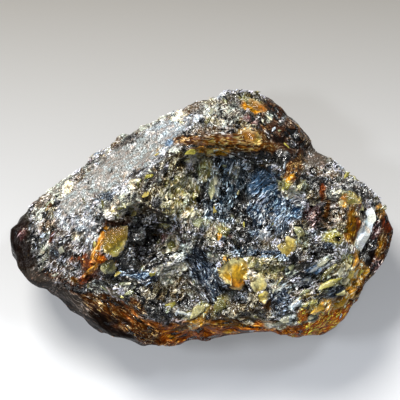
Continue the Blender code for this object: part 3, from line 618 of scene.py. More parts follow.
def blotch_weights(points, rind):
    """How strongly the small blotches claim each point: first those of the broken face, then those of the back."""
    chance = np.random.default_rng(31)
    cells, near = near_cells(points, 2.6, chance, 1)
    kinds = chance.integers(0, len(BLOTCHES), len(cells))[near[:, 0]]
    strengths = chance.uniform(-0.45, 0.36, len(cells))[near[:, 0]]
    away = np.linalg.norm(points - cells[near[:, 0]], axis=1)
    swell = strengths - 0.25 * away + 0.22 * cloudy(points, 0.9, 33)
    weights = [np.where(kinds == kind, swell, -1) for kind in range(len(BLOTCHES))]
    cells, near = near_cells(points, 7.0, chance, 1)
    kinds = chance.integers(0, len(BACK_BLOTCHES), len(cells))[near[:, 0]]
    swell = chance.uniform(-0.3, 0.4, len(cells))[near[:, 0]]
    swell = swell + 0.3 * cloudy(points, 2.6, 37) + 0.2 * cloudy(points, 0.9, 38)
    swell = np.clip(rind, -2, 1.6) + swell
    return weights + [np.where(kinds == kind, swell, -1) for kind in range(len(BACK_BLOTCHES))]


def makeup_shares(points, facing):
    """How much each point has of each makeup: nearly all of one, and some of its neighbours at a border."""
    # Painted shade: the near-black dull skin claims more of each face that turns down and away from the window
    underside_shade = np.minimum(0.8 - 2.2 * facing[:, 2] - 3 * np.clip(facing[:, 1] + 0.1, 0, 1), 0.9)
    rind = 3 * rind_share(points, facing) - 1
    patched = [name for name, patches in PATCHES.items() for _ in patches]
    names = ["broken_face", "back_rind", "dull_skin_and_underside_shade", *patched, *BLOTCHES, *BACK_BLOTCHES]
    weights = [0.02 + 0 * points[:, 0], rind, underside_shade, *patch_weights(points), *blotch_weights(points, rind)]
    shares = np.exp(np.clip(np.array(weights), -2, 2.4) / 0.1)
    shares /= shares.sum(axis=0)
    order = list(MAKEUPS)
    merged = np.zeros((len(order), len(points)))
    for name, share in zip(names, shares):
        merged[order.index(name)] += share
    return merged


def spread(shares, column):
    """One column of the makeups, blended over the points."""
    values = [row[column] for row in MAKEUPS.values()]
    if isinstance(values[0], str):
        return shares.T @ np.array([linear(value)[:3] for value in values])
    return shares.T @ np.array(values, dtype=float)


def inside_outline(points, corners):
    """How many millimetres inside the outline each point is, seen from above, and less than 0 outside."""
    middle = np.mean(corners, axis=0)
    depth = np.full(len(points), 99.0)
    for start, end in zip(corners, corners[1:] + corners[:1]):
        along = np.subtract(end, start) / math.dist(start, end)
        across = (points[:, 0] - start[0]) * along[1] - (points[:, 1] - start[1]) * along[0]
        side = math.copysign(1, (middle[0] - start[0]) * along[1] - (middle[1] - start[1]) * along[0])
        depth = np.minimum(depth, across * side)
    return depth


def chip_beds(points):
    """How deep the face is cut away under the clear chips, and the colour of each bed."""
    sink = np.zeros(len(points))
    bed = np.ones((len(points), 3))
    for corners, thickness, _, _ in CHIPS.values():
        inside = step_between(inside_outline(points, corners), 0.1, 0.7)
        cut = thickness * CHIP_SUNK * inside * (points[:, 2] > FACE_HEIGHT)
        bed[cut > 0] = linear(BED_COLOUR)[:3]
        sink = np.maximum(sink, cut)
    return sink, bed


def splinters(coordinates):
    """Long facets that lie with the grain: how far each point is lifted, and 1 on the edges between them."""
    chance = np.random.default_rng(41)
    cells, near = near_cells(coordinates, SPLINTER_SPACING, chance, 2, stretch=3.0)
    leans = chance.normal(0, SPLINTER_LEAN, cells.shape)
    away = coordinates - cells[near[:, 0]]
    lift = (away * leans[near[:, 0]]).sum(axis=1) + chance.uniform(-0.14, 0.14, len(cells))[near[:, 0]]
    further = np.linalg.norm(coordinates - cells[near[:, 1]], axis=1) - np.linalg.norm(away, axis=1)
    return np.clip(lift, -0.3, 0.3), step_between(further, 0.22, 0.04)


def knap(mesh):
    """Strikes scars and splinters into the broken face along its grain, and leaves the rind smoother."""
    points, facing = read_points(mesh), read_facing(mesh)
    shares = makeup_shares(points, facing)
    calm = sum(shares[list(MAKEUPS).index(name)] for name in CALM)
    glossy = sum(share for share, row in zip(shares, MAKEUPS.values()) if row[FINISH] == SKIN)
    rough = (1 - 0.85 * calm) * (1 - 0.55 * glossy) * (0.35 + 0.65 * step_between(facing[:, 2], -0.1, 0.5))
    _, coordinates = grain(points)
    depth = sum(struck(points, **scar) for scar in SCARS)
    ridges = 1 - 2 * np.abs(cloudy(coordinates, 1.5, 61))
    lift, edges = splinters(coordinates)
    lift = lift + GRAIN_RELIEF * (ridges - 0.5)
    sink, bed = chip_beds(points)
    depth = depth * (0.25 + 0.75 * step_between(facing[:, 2], 0.1, 0.6))
    points = points + facing * (rough * (lift - depth))[:, None] - facing * sink[:, None]
    write_points(mesh, points)
    proud = (lift - lift.mean()) / lift.std()
    # Painted shade: the lowest splinters, in the hollows of the break, are marked for darker paint
    cracks = step_between(proud, -0.2, -1.2) * rough
    clusters = step_between(cloudy(points, 3.0, 35) + 0.6 * cloudy(points, 1.2, 36), -0.15, 0.35)
    return {"shares": shares, "coordinates": coordinates, "sink": sink, "bed": bed, "proud": proud, "edges": edges,
            "clusters": clusters, "cracks": cracks, "calm": calm}


def paint(mesh, skin):
    """Writes down each point's colours and grain for the materials, and gives each face its finish."""
    shares, coordinates, proud = skin["shares"], skin["coordinates"], skin["proud"]
    points = read_points(mesh)
    bedded = step_between(skin["sink"], 0.2, 0.8)
    # Painted shade: ground and stain are up to 0.8 darker in the hollows between splinters
    ground, stain = (
        (spread(shares, column) * (1 - bedded)[:, None] + skin["bed"] * bedded[:, None])
        * (1 - 0.8 * skin["cracks"])[:, None] for column in (GROUND, STAIN))
    bruise = spread(shares, CRUMBED) * (1 - bedded) * (0.35 + 0.9 * skin["edges"] + 0.9 * skin["clusters"])
    bruise = bruise * np.clip(1 + 0.35 * proud, 0.2, 2)
    write_colours(mesh, "ground", ground, spread(shares, STAINED))
    write_colours(mesh, "stain", stain, np.clip(bruise, 0, 1))
    write_colours(mesh, "crumb", spread(shares, CRUMB), bedded)
    layer = mesh.attributes.new("grain_run", "FLOAT_VECTOR", "POINT")
    layer.data.foreach_set("vector", coordinates.astype(np.float32).ravel())
    finishes = np.array([row[FINISH] for row in MAKEUPS.values()])[np.argmax(shares, axis=0)]
    clouds = 0.5 + 0.18 * proud + 0.35 * cloudy(coordinates, 1.5, 71) + 0.2 * cloudy(points, 0.8, 72)
    finishes = np.where((clouds < spread(shares, CLEAR)) & (bedded < 0.5), FRESH, finishes)
    first = np.empty(len(mesh.loops), np.int32)
    mesh.loops.foreach_get("vertex_index", first)
    starts = np.empty(len(mesh.polygons), np.int32)
    mesh.polygons.foreach_get("loop_start", starts)
    slots = finishes[first[starts]]
    mesh.polygons.foreach_set("material_index", slots.astype(np.int32))
    mesh.polygons.foreach_set("use_smooth", slots == RIND)
    mesh.update()


def keep_in_box(mesh):
    """Holds every point inside the solid's own box."""
    low, high = (np.array(corner) / MM for corner in cad_box)
    write_points(mesh, np.clip(read_points(mesh), low, high))


def new_material(name):
    """An empty material, and the function that adds nodes to it."""
    material = bpy.data.materials.new(name)
    material.use_nodes = True
    tree = material.node_tree
    tree.nodes.clear()

    def add(kind, settings=None, *values, **links):
        """Adds a node. settings are its own properties. values go to its open inputs in order, and links by name:
        each is a value, an output, or a node, which stands for its first open output."""
        node = tree.nodes.new(kind)
        for name, value in (settings or {}).items():
            setattr(node, name, value)
        inputs = list(zip([socket for socket in node.inputs if socket.enabled], values))
        inputs += [(node.inputs[name.replace("_", " ")], value) for name, value in links.items()]
        for socket, value in inputs:
            if isinstance(value, bpy.types.Node):
                value = next(output for output in value.outputs if output.enabled)
            if isinstance(value, bpy.types.NodeSocket):
                tree.links.new(value, socket)
            else:
                socket.default_value = value
        return node

    return material, add


def fresh_resin():
    """Freshly broken resin, glassy and so dark that only thin edges let light through."""
    material, add = new_material("fresh_resin")
    run = add("ShaderNodeAttribute", {"attribute_name": "grain_run"}).outputs["Vector"]
    glints = add("ShaderNodeTexNoise", Vector=run, Scale=1 / GLINT, Detail=3.0)
    rough = add("ShaderNodeMapRange", Value=glints, From_Min=0.3, From_Max=0.7, To_Min=0.08, To_Max=0.34)
    bump = add("ShaderNodeBump", Height=glints, Strength=0.7, Distance=0.25 * MM)
    shader = add("ShaderNodeBsdfPrincipled", Base_Color=linear("FFF6E8"), Roughness=rough, IOR=1.54,
                 Transmission_Weight=1.0, Normal=bump)
    depth = add("ShaderNodeVolumeAbsorption", Color=linear("ECCB00"), Density=1900.0)
    add("ShaderNodeOutputMaterial", Surface=shader, Volume=depth)
    return material


def amber_hues(add, run):
    """The colours that bruised amber takes by its depth: bluish white, bone, yellow-green and honey."""
    clouds = add("ShaderNodeTexNoise", Vector=run, Scale=1 / HUE, Detail=3.0)
    hues = add("ShaderNodeValToRGB", Fac=clouds)
    stops = ((0.32, "AFC6E2"), (0.44, "F0F4F8"), (0.54, "E8E6D4"), (0.62, "C6C26A"), (0.72, "C0904A"))
    while len(hues.color_ramp.elements) < len(stops):
        hues.color_ramp.elements.new(0.5)
    for element, (place, colour) in zip(hues.color_ramp.elements, stops):
        element.position = place
        element.color = linear(colour)
    return hues


def pale_marks(add, run, clouds, bruised, lines):
    """Where crumbs, pale lines and white dust specks lie on a solid finish, the specks partly painted glints: how
    pale each place is, and how far it stands up.
    """
    specks = add("ShaderNodeTexNoise", Vector=run, Scale=1 / SPECK, Detail=1.5, Roughness=0.6)
    folds = add("ShaderNodeTexNoise", Vector=run, Scale=1 / FOLD, Detail=2.5, Distortion=0.6)
    # White specks of dust that also stand in for glints: painted highlights
    dust_and_glints = add("ShaderNodeTexNoise", Vector=run, Scale=1 / DUST, Detail=1.0)
    speckled = add("ShaderNodeMath", {"operation": "MULTIPLY_ADD"}, bruised, 0.45, specks)
    speckled = add("ShaderNodeMapRange", Value=speckled, From_Min=0.71, From_Max=0.765)
    edges = add("ShaderNodeMath", {"operation": "SUBTRACT"}, folds, 0.5)
    edges = add("ShaderNodeMath", {"operation": "ABSOLUTE"}, edges)
    edges = add("ShaderNodeMapRange", Value=edges, From_Min=0.008, From_Max=0.026, To_Min=1.0, To_Max=0.0)
    broken = add("ShaderNodeMapRange", Value=clouds, From_Min=0.42, From_Max=0.55)
    bruise = add("ShaderNodeMath", {"operation": "MULTIPLY", "use_clamp": True}, bruised, 2.5)
    for share in (broken, bruise, lines):
        edges = add("ShaderNodeMath", {"operation": "MULTIPLY"}, edges, share)
    dust_and_glints = add("ShaderNodeMapRange", Value=dust_and_glints, From_Min=0.61, From_Max=0.65)
    dust_and_glints = add("ShaderNodeMath", {"operation": "MULTIPLY"}, dust_and_glints, bruise)
    pale = add("ShaderNodeMath", {"operation": "MAXIMUM"}, speckled, edges)
    pale = add("ShaderNodeMath", {"operation": "MAXIMUM"}, pale, dust_and_glints)
    return pale, add("ShaderNodeMath", {"operation": "ADD"}, specks, edges)


def marbled(name, roughness, bump_height, gloss=0.5, hued=0.19, lines=1.0, pitted=0.0):
    """A solid finish: ground, stain and crumbs run along the grain in the shares that each place has. hued is how
    far the pale marks take amber's hues, lines how strong the pale lines are, and pitted how dark the pits are."""
    material, add = new_material(name)
    run = add("ShaderNodeAttribute", {"attribute_name": "grain_run"}).outputs["Vector"]
    place = add("ShaderNodeTexCoord").outputs["Object"]
    ground, stain, crumb = (
        add("ShaderNodeAttribute", {"attribute_name": layer}) for layer in ("ground", "stain", "crumb"))
    clouds = add("ShaderNodeTexNoise", Vector=run, Scale=1 / CLOUD, Detail=5.0, Roughness=0.65)
    stained = add("ShaderNodeMath", {"operation": "ADD"}, clouds, ground.outputs["Alpha"])
    stained = add("ShaderNodeMapRange", Value=stained, From_Min=0.92, From_Max=1.12)
    colour = add("ShaderNodeMix", MIX, stained, ground, stain)
    pale, relief = pale_marks(add, run, clouds, stain.outputs["Alpha"], lines)
    bright = add("ShaderNodeMix", MIX, hued, crumb, amber_hues(add, run))
    colour = add("ShaderNodeMix", MIX, pale, colour, bright)
    shade = add("ShaderNodeTexNoise", Vector=run, Scale=1 / DUST, Detail=2.0)
    shade = add("ShaderNodeMapRange", Value=shade, From_Min=0.3, From_Max=0.7, To_Min=0.15, To_Max=1.7)
    colour = add("ShaderNodeMix", MULTIPLY, 1.0, colour, shade)
    blush = add("ShaderNodeTexNoise", Vector=place, Scale=1 / (BLUSH * MM), Detail=3.0, Roughness=0.6)
    blush = add("ShaderNodeMapRange", Value=blush, From_Min=0.35, From_Max=0.65)
    blush = add("ShaderNodeMix", MIX, blush, linear("EAD6C2"), linear("F2FFFA"))
    colour = add("ShaderNodeMix", MULTIPLY, 1.0, colour, blush)
    pits = add("ShaderNodeTexNoise", Vector=place, Scale=1 / (PIT * MM), Detail=3.0, Roughness=0.7)
    pits = add("ShaderNodeMapRange", Value=pits, From_Min=0.47, From_Max=0.39, To_Max=pitted)
    colour = add("ShaderNodeMix", MIX, pits, colour, linear("2A2622"))
    bump = add("ShaderNodeBump", Height=relief, Strength=0.9, Distance=bump_height)
    shader = add("ShaderNodeBsdfPrincipled", Base_Color=colour, Roughness=roughness, IOR=1.54, Normal=bump,
                 Specular_IOR_Level=gloss)
    add("ShaderNodeOutputMaterial", Surface=shader)
    return material


def loose_crumb():
    """Crushed resin in grains, white with tiny cracks and still glassy on its faces."""
    material, add = new_material("crushed_resin")
    place = add("ShaderNodeTexCoord").outputs["Object"]
    tint = add("ShaderNodeVertexColor", {"layer_name": "tint"})
    cracks = add("ShaderNodeTexNoise", Vector=place, Scale=1 / (CRUMB_CRACK * MM), Detail=2.0)
    shade = add("ShaderNodeMapRange", Value=cracks, From_Min=0.3, From_Max=0.7, To_Min=0.7, To_Max=1.2)
    colour = add("ShaderNodeMix", MULTIPLY, 1.0, tint, shade)
    shader = add("ShaderNodeBsdfPrincipled", Base_Color=colour, Roughness=0.28, IOR=1.54)
    add("ShaderNodeOutputMaterial", Surface=shader)
    return material


def cloudy_resin():
    """Chips and splinters of clear resin, partly clouded by cracks: most light goes through, some comes back."""
    material, add = new_material("cloudy_honey_resin")
    place = add("ShaderNodeTexCoord").outputs["Object"]
    tint = add("ShaderNodeVertexColor", {"layer_name": "tint"})
    cracks = add("ShaderNodeTexNoise", Vector=place, Scale=1 / (CHIP_CRACK * MM), Detail=5.0, Roughness=0.75)
    shade = add("ShaderNodeMapRange", Value=cracks, From_Min=0.35, From_Max=0.65, To_Min=0.55, To_Max=1.45)
    colour = add("ShaderNodeMix", MULTIPLY, 1.0, tint, shade)
    chalky = add("ShaderNodeMapRange", Value=cracks, From_Min=0.60, From_Max=0.70, To_Max=0.15)
    colour = add("ShaderNodeMix", MIX, chalky, colour, linear("E8D890"))
    bump = add("ShaderNodeBump", Height=cracks, Strength=0.7, Distance=0.2 * MM)
    shader = add("ShaderNodeBsdfPrincipled", Base_Color=colour, Roughness=0.12, IOR=1.54,
                 Transmission_Weight=0.50, Normal=bump)
    depth = add("ShaderNodeVolumeAbsorption", Color=linear("FEF359"), Density=90.0)
    add("ShaderNodeOutputMaterial", Surface=shader, Volume=depth)
    return material


def lump_skin(node):
    """The finished lump: clear where it broke cleanly, cloudy with tiny cracks where it is bruised, weathered to a
    dull pitted rind, or worn smooth."""
    mesh = even_skin(node)
    smooth_points = read_points(mesh)
    skin = knap(mesh)
    paint(mesh, skin)
    keep_in_box(mesh)
    mesh.materials.append(fresh_resin())
    mesh.materials.append(marbled("bruised_resin", 0.24, 0.28 * MM, gloss=0.38))
    mesh.materials.append(marbled("weathered_rind", 0.75, 0.16 * MM, gloss=0.2, hued=0.05, lines=0.3, pitted=0.85))
    mesh.materials.append(marbled("polished_skin", 0.28, 0.22 * MM, gloss=0.06, hued=0.05))
    lump = new_object("amber_lump", mesh)
    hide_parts(LUMP)
    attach(lump, "root")
    skin["smooth_points"] = smooth_points
    return lump, skin


def crumb_shapes(chance):
    """A few angular grains about 1 across: for each, its corners and its triangles."""
    shapes = []
    for _ in range(CRUMB_SHAPES):
        shape = bmesh.new()
        for _ in range(CRUMB_CORNERS):
            shape.verts.new(Vector(chance.normal(0, 1, 3)).normalized() * 0.5)
        bmesh.ops.convex_hull(shape, input=shape.verts)
        bmesh.ops.triangulate(shape, faces=shape.faces[:])
        shape.verts.index_update()
        corners = np.array([vert.co for vert in shape.verts])
        triangles = np.array([[vert.index for vert in face.verts] for face in shape.faces])
        shape.free()
        shapes.append((corners, triangles))
    return shapes


def unit(vectors):
    return vectors / np.maximum(np.linalg.norm(vectors, axis=1, keepdims=True), 1e-9)


def laid_square(vectors, up):
    """Each vector turned so that it lies square to its up direction."""
    return unit(vectors - up * (vectors * up).sum(axis=1)[:, None])


def copies(shapes, kinds, places, axes, tints):
    """Copies of the shapes in one set of corners and triangles, each with its own place, axes and tint."""
    all_corners, all_triangles, all_tints, total = [], [], [], 0
    for kind, (corners, triangles) in enumerate(shapes):
        here = np.where(kinds == kind)[0]
        placed = places[here][:, None, :] + corners[None] @ axes[here]
        numbers = total + np.arange(len(here))[:, None, None] * len(corners) + triangles[None]
        all_corners.append(placed.reshape(-1, 3))
        all_triangles.append(numbers.reshape(-1, 3))
        all_tints.append(np.repeat(tints[here], len(corners), axis=0))
        total += len(here) * len(corners)
    return np.concatenate(all_corners), np.concatenate(all_triangles), np.concatenate(all_tints)


def loose_grains(name, lump, skin, resin, count, widths, lengths, thick, stray, seed):
    """Grains of crushed resin half sunk in the broken face: widths, lengths and thicknesses are from and to."""
    chance = np.random.default_rng(seed)
    points, facing = read_points(lump.data), read_facing(lump.data)
    shares = skin["shares"]
    chances = spread(shares, LOOSE) * (1 - 0.9 * skin["calm"]) * (skin["sink"] < 0.2)
    chances = chances * (0.04 + skin["clusters"] ** 2) * np.clip(0.6 + 0.5 * skin["proud"], 0.05, 2.0)
    sites = chance.choice(len(points), count, replace=False, p=chances / chances.sum())
    runs, _ = grain(points[sites])
    up = unit(facing[sites] + chance.normal(0, stray, (count, 3)))
    long_way = laid_square(unit(runs + chance.normal(0, stray, (count, 3))), up)
    wide_way = np.cross(up, long_way)
    width = chance.uniform(*widths, count)
    sizes = np.stack([width * chance.uniform(*lengths, count), width, width * chance.uniform(*thick, count)])
    hues = np.array([linear(colour)[:3] for colour in CRUMB_HUES])[chance.integers(0, len(CRUMB_HUES), count)]
    blend = chance.uniform(0.0, 0.32, count)[:, None]
    tints = spread(shares, CRUMB)[sites] * (1 - blend) + hues * blend
    tints = tints * (0.2 + 1.3 * chance.uniform(0, 1, count) ** 1.5)[:, None]
    shapes = crumb_shapes(chance)
    kinds = chance.integers(0, len(shapes), count)
    axes = np.stack([long_way, wide_way, up], axis=1) * sizes.T[:, :, None]
    corners, triangles, colours = copies(shapes, kinds, points[sites], axes, tints)
    mesh = bpy.data.meshes.new(name)
    mesh.from_pydata((corners * MM).tolist(), [], triangles.tolist())
    write_colours(mesh, "tint", np.clip(colours, 0, 1), np.ones(len(corners)))
    mesh.materials.append(resin)
    keep_in_box(mesh)
    grains = new_object(name, mesh)
    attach(grains, "root")


def crushed_bits(lump, skin, resin):
    """Crumbs in clusters, and long thin slivers that stand along the ridges of the break."""
    loose_grains("loose_crumbs", lump, skin, resin, CRUMBS, (0.20, 0.55), (1.0, 2.0), (0.4, 0.9), 0.35, 47)
    loose_grains("slivers", lump, skin, resin, SLIVERS, (0.12, 0.28), (3.0, 9.5), (0.8, 1.6), 0.24, 48)


def tinted_piece(name, shape, material):
    """Makes a piece of resin from a bmesh whose corners carry their tints."""
    loose = [vert for vert in shape.verts if not vert.link_faces]
    bmesh.ops.delete(shape, geom=loose, context="VERTS")
    piece = new_object(name, mesh_of(name, shape))
    piece.data.materials.append(material)
    keep_in_box(piece.data)
    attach(piece, "root")


def add_corners(shape, places, tints):
    """Adds corners to a bmesh, each with its tint."""
    layer = shape.verts.layers.float_color.get("tint") or shape.verts.layers.float_color.new("tint")
    corners = []
    for place, tint in zip(places, tints):
        corner = shape.verts.new(Vector(place) * MM)
        corner[layer] = (*np.clip(tint, 0, 1), 1)
        corners.append(corner)
    return corners


def resin_hue(name):
    return np.array(linear(RESIN_HUES[name])[:3])


def flake_sites(points, skin, chance):
    """Where flakes lie: the shown ones first, then others scattered on proud places of the break."""
    sites, sizes, runs, hues = [], [], [], []
    for x, y, half_length, half_width, run, hue in SHOWN_FLAKES:
        close = np.where(np.hypot(points[:, 0] - x, points[:, 1] - y) < 0.6)[0]
        sites.append(close[np.argmax(points[close, 2])])
        sizes.append((half_length, half_width, 0.5))
        runs.append((math.cos(math.radians(run)), math.sin(math.radians(run)), 0))
        hues.append(hue)
    chances = spread(skin["shares"], LOOSE) * (skin["sink"] < 0.2) * (skin["proud"] > 0.2)
    chances = chances * (points[:, 2] > FACE_HEIGHT - 2)
    others = chance.choice(len(points), FLAKES, replace=False, p=chances / chances.sum())
    sites += others.tolist()
    sizes += [(chance.uniform(0.6, 1.8), chance.uniform(0.3, 0.8), chance.uniform(0.15, 0.3)) for _ in others]
    runs += grain(points[others])[0].tolist()
    hues += chance.choice(("bone", "straw", "pale_green", "olive", "ice", "olive", "lemon"), FLAKES).tolist()
    return np.array(sites), np.array(sizes), np.array(runs), hues


def add_flake(shape, middle, size, up, along, hue, chance):
    """Adds one thin plate with a ragged edge to the bmesh, with painted light: brighter towards one side and on its
    edge.
    """
    turns = np.sort(chance.uniform(0, 2 * math.pi, FLAKE_CORNERS))
    flat = np.stack([np.cos(turns), np.sin(turns)], axis=1) * chance.uniform(0.6, 1.15, (FLAKE_CORNERS, 1))
    axes = np.stack([along * size[0], np.cross(up, along) * size[1]])
    # Painted light: brighter towards one side, creamy where brightest, and brighter on the edge ring than on the
    # crown and foot
    bright = 0.9 + 0.6 * flat @ chance.normal(0, 0.7, 2)
    creamy = 0.5 * step_between(bright, 1.1, 1.6)[:, None]
    tint = resin_hue(hue) * (1 - creamy) + resin_hue("cream") * creamy
    rings, tints = [], []
    for share, height in ((0.75, 1.0), (1.0, 0.3), (0.85, -1.2)):
        heights = (height + chance.normal(0, 0.12, FLAKE_CORNERS)) * size[2]
        ragged = share * chance.uniform(0.85, 1.15, (FLAKE_CORNERS, 1))
        rings.append(middle + ragged * flat @ axes + heights[:, None] * up)
        tints.append(tint * (np.clip(bright, 0.3, 1.5) * (1.15 if share == 1.0 else 0.8))[:, None])
    corners = add_corners(shape, np.concatenate(rings), np.concatenate(tints))
    bmesh.ops.convex_hull(shape, input=corners)


def cloudy_flakes(lump, skin, resin):
    """Thin plates of cloudy resin that stand up from the break, with their long side along the grain."""
    chance = np.random.default_rng(53)
    points, facing = read_points(lump.data), read_facing(lump.data)
    sites, sizes, runs, hues = flake_sites(points, skin, chance)
    shown = len(SHOWN_FLAKES)
    lean = np.where(np.arange(len(sites)) < shown, 0.12, 0.40)[:, None]
    up = unit(facing[sites] + lean * chance.normal(0, 1, (len(sites), 3)))
    up[:shown] = unit(up[:shown] + (0, 0, 1.5))
    long_way = laid_square(unit(runs + 0.5 * lean * chance.normal(0, 1, (len(sites), 3))), up)
    shape = bmesh.new()
    for site, size, high, along, hue in zip(sites, sizes, up, long_way, hues):
        add_flake(shape, points[site], size, high, along, hue, chance)
    tinted_piece("cloudy_flakes", shape, resin)


def chip_tints(flat, inside, run, hues, facet, chance):
    """Colours of a chip's points: three hues across it, facets of uneven depth, fine cracks and a paler rim that is
    a painted highlight.
    """
    along = flat @ (math.cos(math.radians(run)), math.sin(math.radians(run)))
    across = flat @ (-math.sin(math.radians(run)), math.cos(math.radians(run)))
    solid = np.column_stack([flat, 0 * along])
    drawn = np.column_stack([across, along / 3, 0 * along])
    share = (along - along.min()) / np.ptp(along) + 0.22 * cloudy(solid, 1.6, 91)
    first, body, last = (resin_hue(hue) for hue in hues)
    early = step_between(share, 0.45, 0.10)[:, None]
    late = step_between(share, 0.55, 0.90)[:, None]
    tints = body * (1 - early - late) + first * early + last * late
    darkest = 0.75 if "reflection_white" in hues or "honey" in hues else 0.45
    depths = chance.uniform(darkest, 1.15, CHIP_BREAKS)[facet]
    tints = tints * (depths * (1 + 0.6 * cloudy(drawn, 0.7, 92)))[:, None]
    tints = tints * (1 - 0.6 * step_between(np.abs(cloudy(drawn, 1.2, 95)), 0.12, 0.03))[:, None]
    # Painted highlight: a patchy pale cream rim along the edge, where light caught in the chip shines
    rim = (step_between(inside, 0.7, 0.3) * step_between(cloudy(solid, 1.8, 93), -0.4, 0.3))[:, None]
    return tints * (1 - rim) + (0.6 * body + 0.5 * resin_hue("cream")) * rim


def chip_points(corners, middle, chance):
    """Points of a chip seen from above: first its ragged edge, in order, then those inside it."""
    edge = []
    for start, end in zip(corners, np.roll(corners, -1, axis=0)):
        steps = max(2, int(math.dist(start, end) / CHIP_CELL))
        edge += [start + (end - start) * step / steps for step in range(steps)]
    edge = np.array(edge) + chance.normal(0, 0.10, (len(edge), 2))
    spots = np.arange(-12, 12, CHIP_CELL)
    inner = middle + np.stack(np.meshgrid(spots, spots), axis=-1).reshape(-1, 2)
    inner = inner + chance.normal(0, 0.08, inner.shape)
    return edge, inner[inside_outline(inner, corners.tolist()) > 0.30]


def chip_level(corners, middle, smooth_points):
    """The height of the middle of a chip, and its slope, from the smooth skin round its outline."""
    heights = []
    for x, y in corners:
        close = np.hypot(smooth_points[:, 0] - x, smooth_points[:, 1] - y) < 0.7
        heights.append(smooth_points[close, 2].max())
    level = np.mean(heights) + 0.5
    slope, _, _, _ = np.linalg.lstsq(corners - middle, np.array(heights) - level, rcond=None)
    return level, np.clip(slope, -0.35, 0.35)


def close_chip(flat, top, foot, tints):
    """A closed bmesh from the top of a chip, whose first points are its edge, and its foot under that edge."""
    rim = len(foot)
    _, _, faces, sources, _, _ = geometry.delaunay_2d_cdt(
        [Vector(place) for place in flat], [], [list(range(rim))], 1, 1e-6)
    shape = bmesh.new()
    places = np.concatenate([np.column_stack([flat, top]), foot])
    verts = add_corners(shape, places, np.concatenate([tints, 0.7 * tints[:rim]]))
    for face in faces:
        shape.faces.new([verts[sources[corner][0]] for corner in face])
    for index in range(rim):
        after = (index + 1) % rim
        shape.faces.new([verts[index], verts[after], verts[len(flat) + after], verts[len(flat) + index]])
    shape.faces.new(verts[len(flat):])
    bmesh.ops.triangulate(shape, faces=[face for face in shape.faces if len(face.verts) > 3])
    bmesh.ops.recalc_face_normals(shape, faces=shape.faces[:])
    return shape


def chip(name, corners, thickness, run, hues, smooth_points, resin, seed):
    """A broken chip that stands where the solid bulges: a crown of flat breaks, a ragged edge and a buried foot."""
    chance = np.random.default_rng(seed)
    middle = np.mean(corners, axis=0)
    corners = middle + CHIP_SPREAD * (np.array(corners) - middle)
    level, slope = chip_level(corners, middle, smooth_points)
    edge, inner = chip_points(corners, middle, chance)
    flat = np.concatenate([edge, inner])
    inside = np.clip(inside_outline(flat, corners.tolist()), 0, None)
    centres = inner[chance.integers(0, len(inner), CHIP_BREAKS)]
    leans = chance.normal(0, 0.42, (CHIP_BREAKS, 2))
    breaks = ((flat[:, None, :] - centres) * leans).sum(axis=2) + chance.uniform(0.5, 1.3, CHIP_BREAKS)
    top = level + (flat - middle) @ slope + np.clip(breaks.min(axis=1), -0.7, 1.3)
    top = top - 0.4 * step_between(inside, 0.5, 0.0)
    top = top + 0.07 * cloudy(np.column_stack([flat, top]), 0.6, 94)
    tints = chip_tints(flat, inside, run, hues, breaks.argmin(axis=1), chance)
    foot = np.column_stack([middle + (edge - middle) * CHIP_FOOT, top[:len(edge)] - thickness])
    tinted_piece(name, close_chip(flat, top, foot, tints), resin)


def clear_chips(lump, skin, crushed):
    """The clear chips, each sunk into the face under it, the opaque facet with the painted reflection, and the
    flakes.
    """
    resin = cloudy_resin()
    for seed, (name, (corners, thickness, run, hues)) in enumerate(CHIPS.items()):
        # The facet with the painted reflection is opaque crushed resin, not clear
        finish = crushed if "reflection_white" in hues else resin
        chip(name, corners, thickness, run, hues, skin["smooth_points"], finish, seed + 5)
    cloudy_flakes(lump, skin, resin)


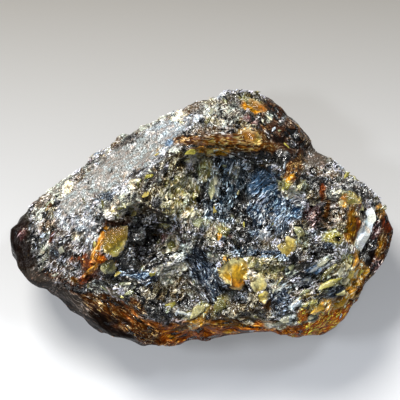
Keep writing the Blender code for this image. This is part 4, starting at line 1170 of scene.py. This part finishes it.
def floor():
    """A plain pale floor, painted darker towards the top, where the window lights it most, and paler in the shadow.
    """
    material, add = new_material("plain_floor")
    place = add("ShaderNodeTexCoord").outputs["Object"]
    down = add("ShaderNodeSeparateXYZ", None, place).outputs["Y"]
    # Painted shade and light: the colour darkens towards the top, against the window's stronger light, and pales
    # below, against the lump's shadow
    share = add("ShaderNodeMapRange", Value=down, From_Min=0.06, From_Max=-0.07)
    colour = add("ShaderNodeMix", MIX, share, linear("64625E"), linear("B8BABD"))
    # A painted glow: the floor shines in its own colour to soften the lump's shadow and light the lump's underside
    shader = add("ShaderNodeBsdfPrincipled", Base_Color=colour, Roughness=0.9, Emission_Color=colour,
                 Emission_Strength=0.50)
    add("ShaderNodeOutputMaterial", Surface=shader)
    shape = bmesh.new()
    bmesh.ops.create_grid(shape, x_segments=1, y_segments=1, size=1.5)
    mesh = mesh_of("floor", shape)
    mesh.materials.append(material)
    new_object("floor", mesh)


def softbox(name, place, aim, size, watts, colour):
    """A soft panel of light that is turned to its aim."""
    light = bpy.data.lights.new(name, "AREA")
    light.shape = "RECTANGLE"
    light.size, light.size_y = size
    light.energy = watts
    light.color = linear(colour)[:3]
    lamp = bpy.data.objects.new(name, light)
    lamp.location = place
    lamp.rotation_euler = (Vector(aim) - Vector(place)).to_track_quat("-Z", "Y").to_euler()
    bpy.context.scene.collection.objects.link(lamp)


def studio():
    """Soft light from a window above and behind, two small panes for glints, and a pale room."""
    floor()
    softbox("window", (-0.20, 0.40, 0.50), (0, 0, 0.02), (0.24, 0.20), 9.4, "FFFBF4")
    softbox("right_pane", (0.20, 0.26, 0.58), (0, 0, 0.02), (0.10, 0.10), 1.5, "F4F8FF")
    softbox("left_pane", (-0.36, 0.02, 0.48), (0, 0, 0.02), (0.10, 0.10), 1.5, "F4F8FF")
    world = bpy.data.worlds.new("soft_room")
    world.use_nodes = True
    world.node_tree.nodes["Background"].inputs["Color"].default_value = linear("E2E6EE")
    world.node_tree.nodes["Background"].inputs["Strength"].default_value = 0.30
    bpy.context.scene.world = world
    bpy.context.scene.view_settings.view_transform = "Standard"


def camera():
    """Looks straight down. frame_width is what the photograph's width spans at the height of the widest line."""
    frame_width, distance, widest_line = 100.0, 600.0, 16.0
    middle_x, middle_y = -0.5, 4.4
    lens = bpy.data.cameras.new("camera")
    lens.sensor_width = 36
    lens.lens = lens.sensor_width * (distance - widest_line) / frame_width
    eye = bpy.data.objects.new("camera", lens)
    eye.location = Vector((middle_x, middle_y, distance)) * MM
    bpy.context.scene.collection.objects.link(eye)
    bpy.context.scene.camera = eye


camera()
studio()
amber_lump, amber_skin = lump_skin(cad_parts[LUMP])
crushed_resin = loose_crumb()
crushed_bits(amber_lump, amber_skin, crushed_resin)
clear_chips(amber_lump, amber_skin, crushed_resin)
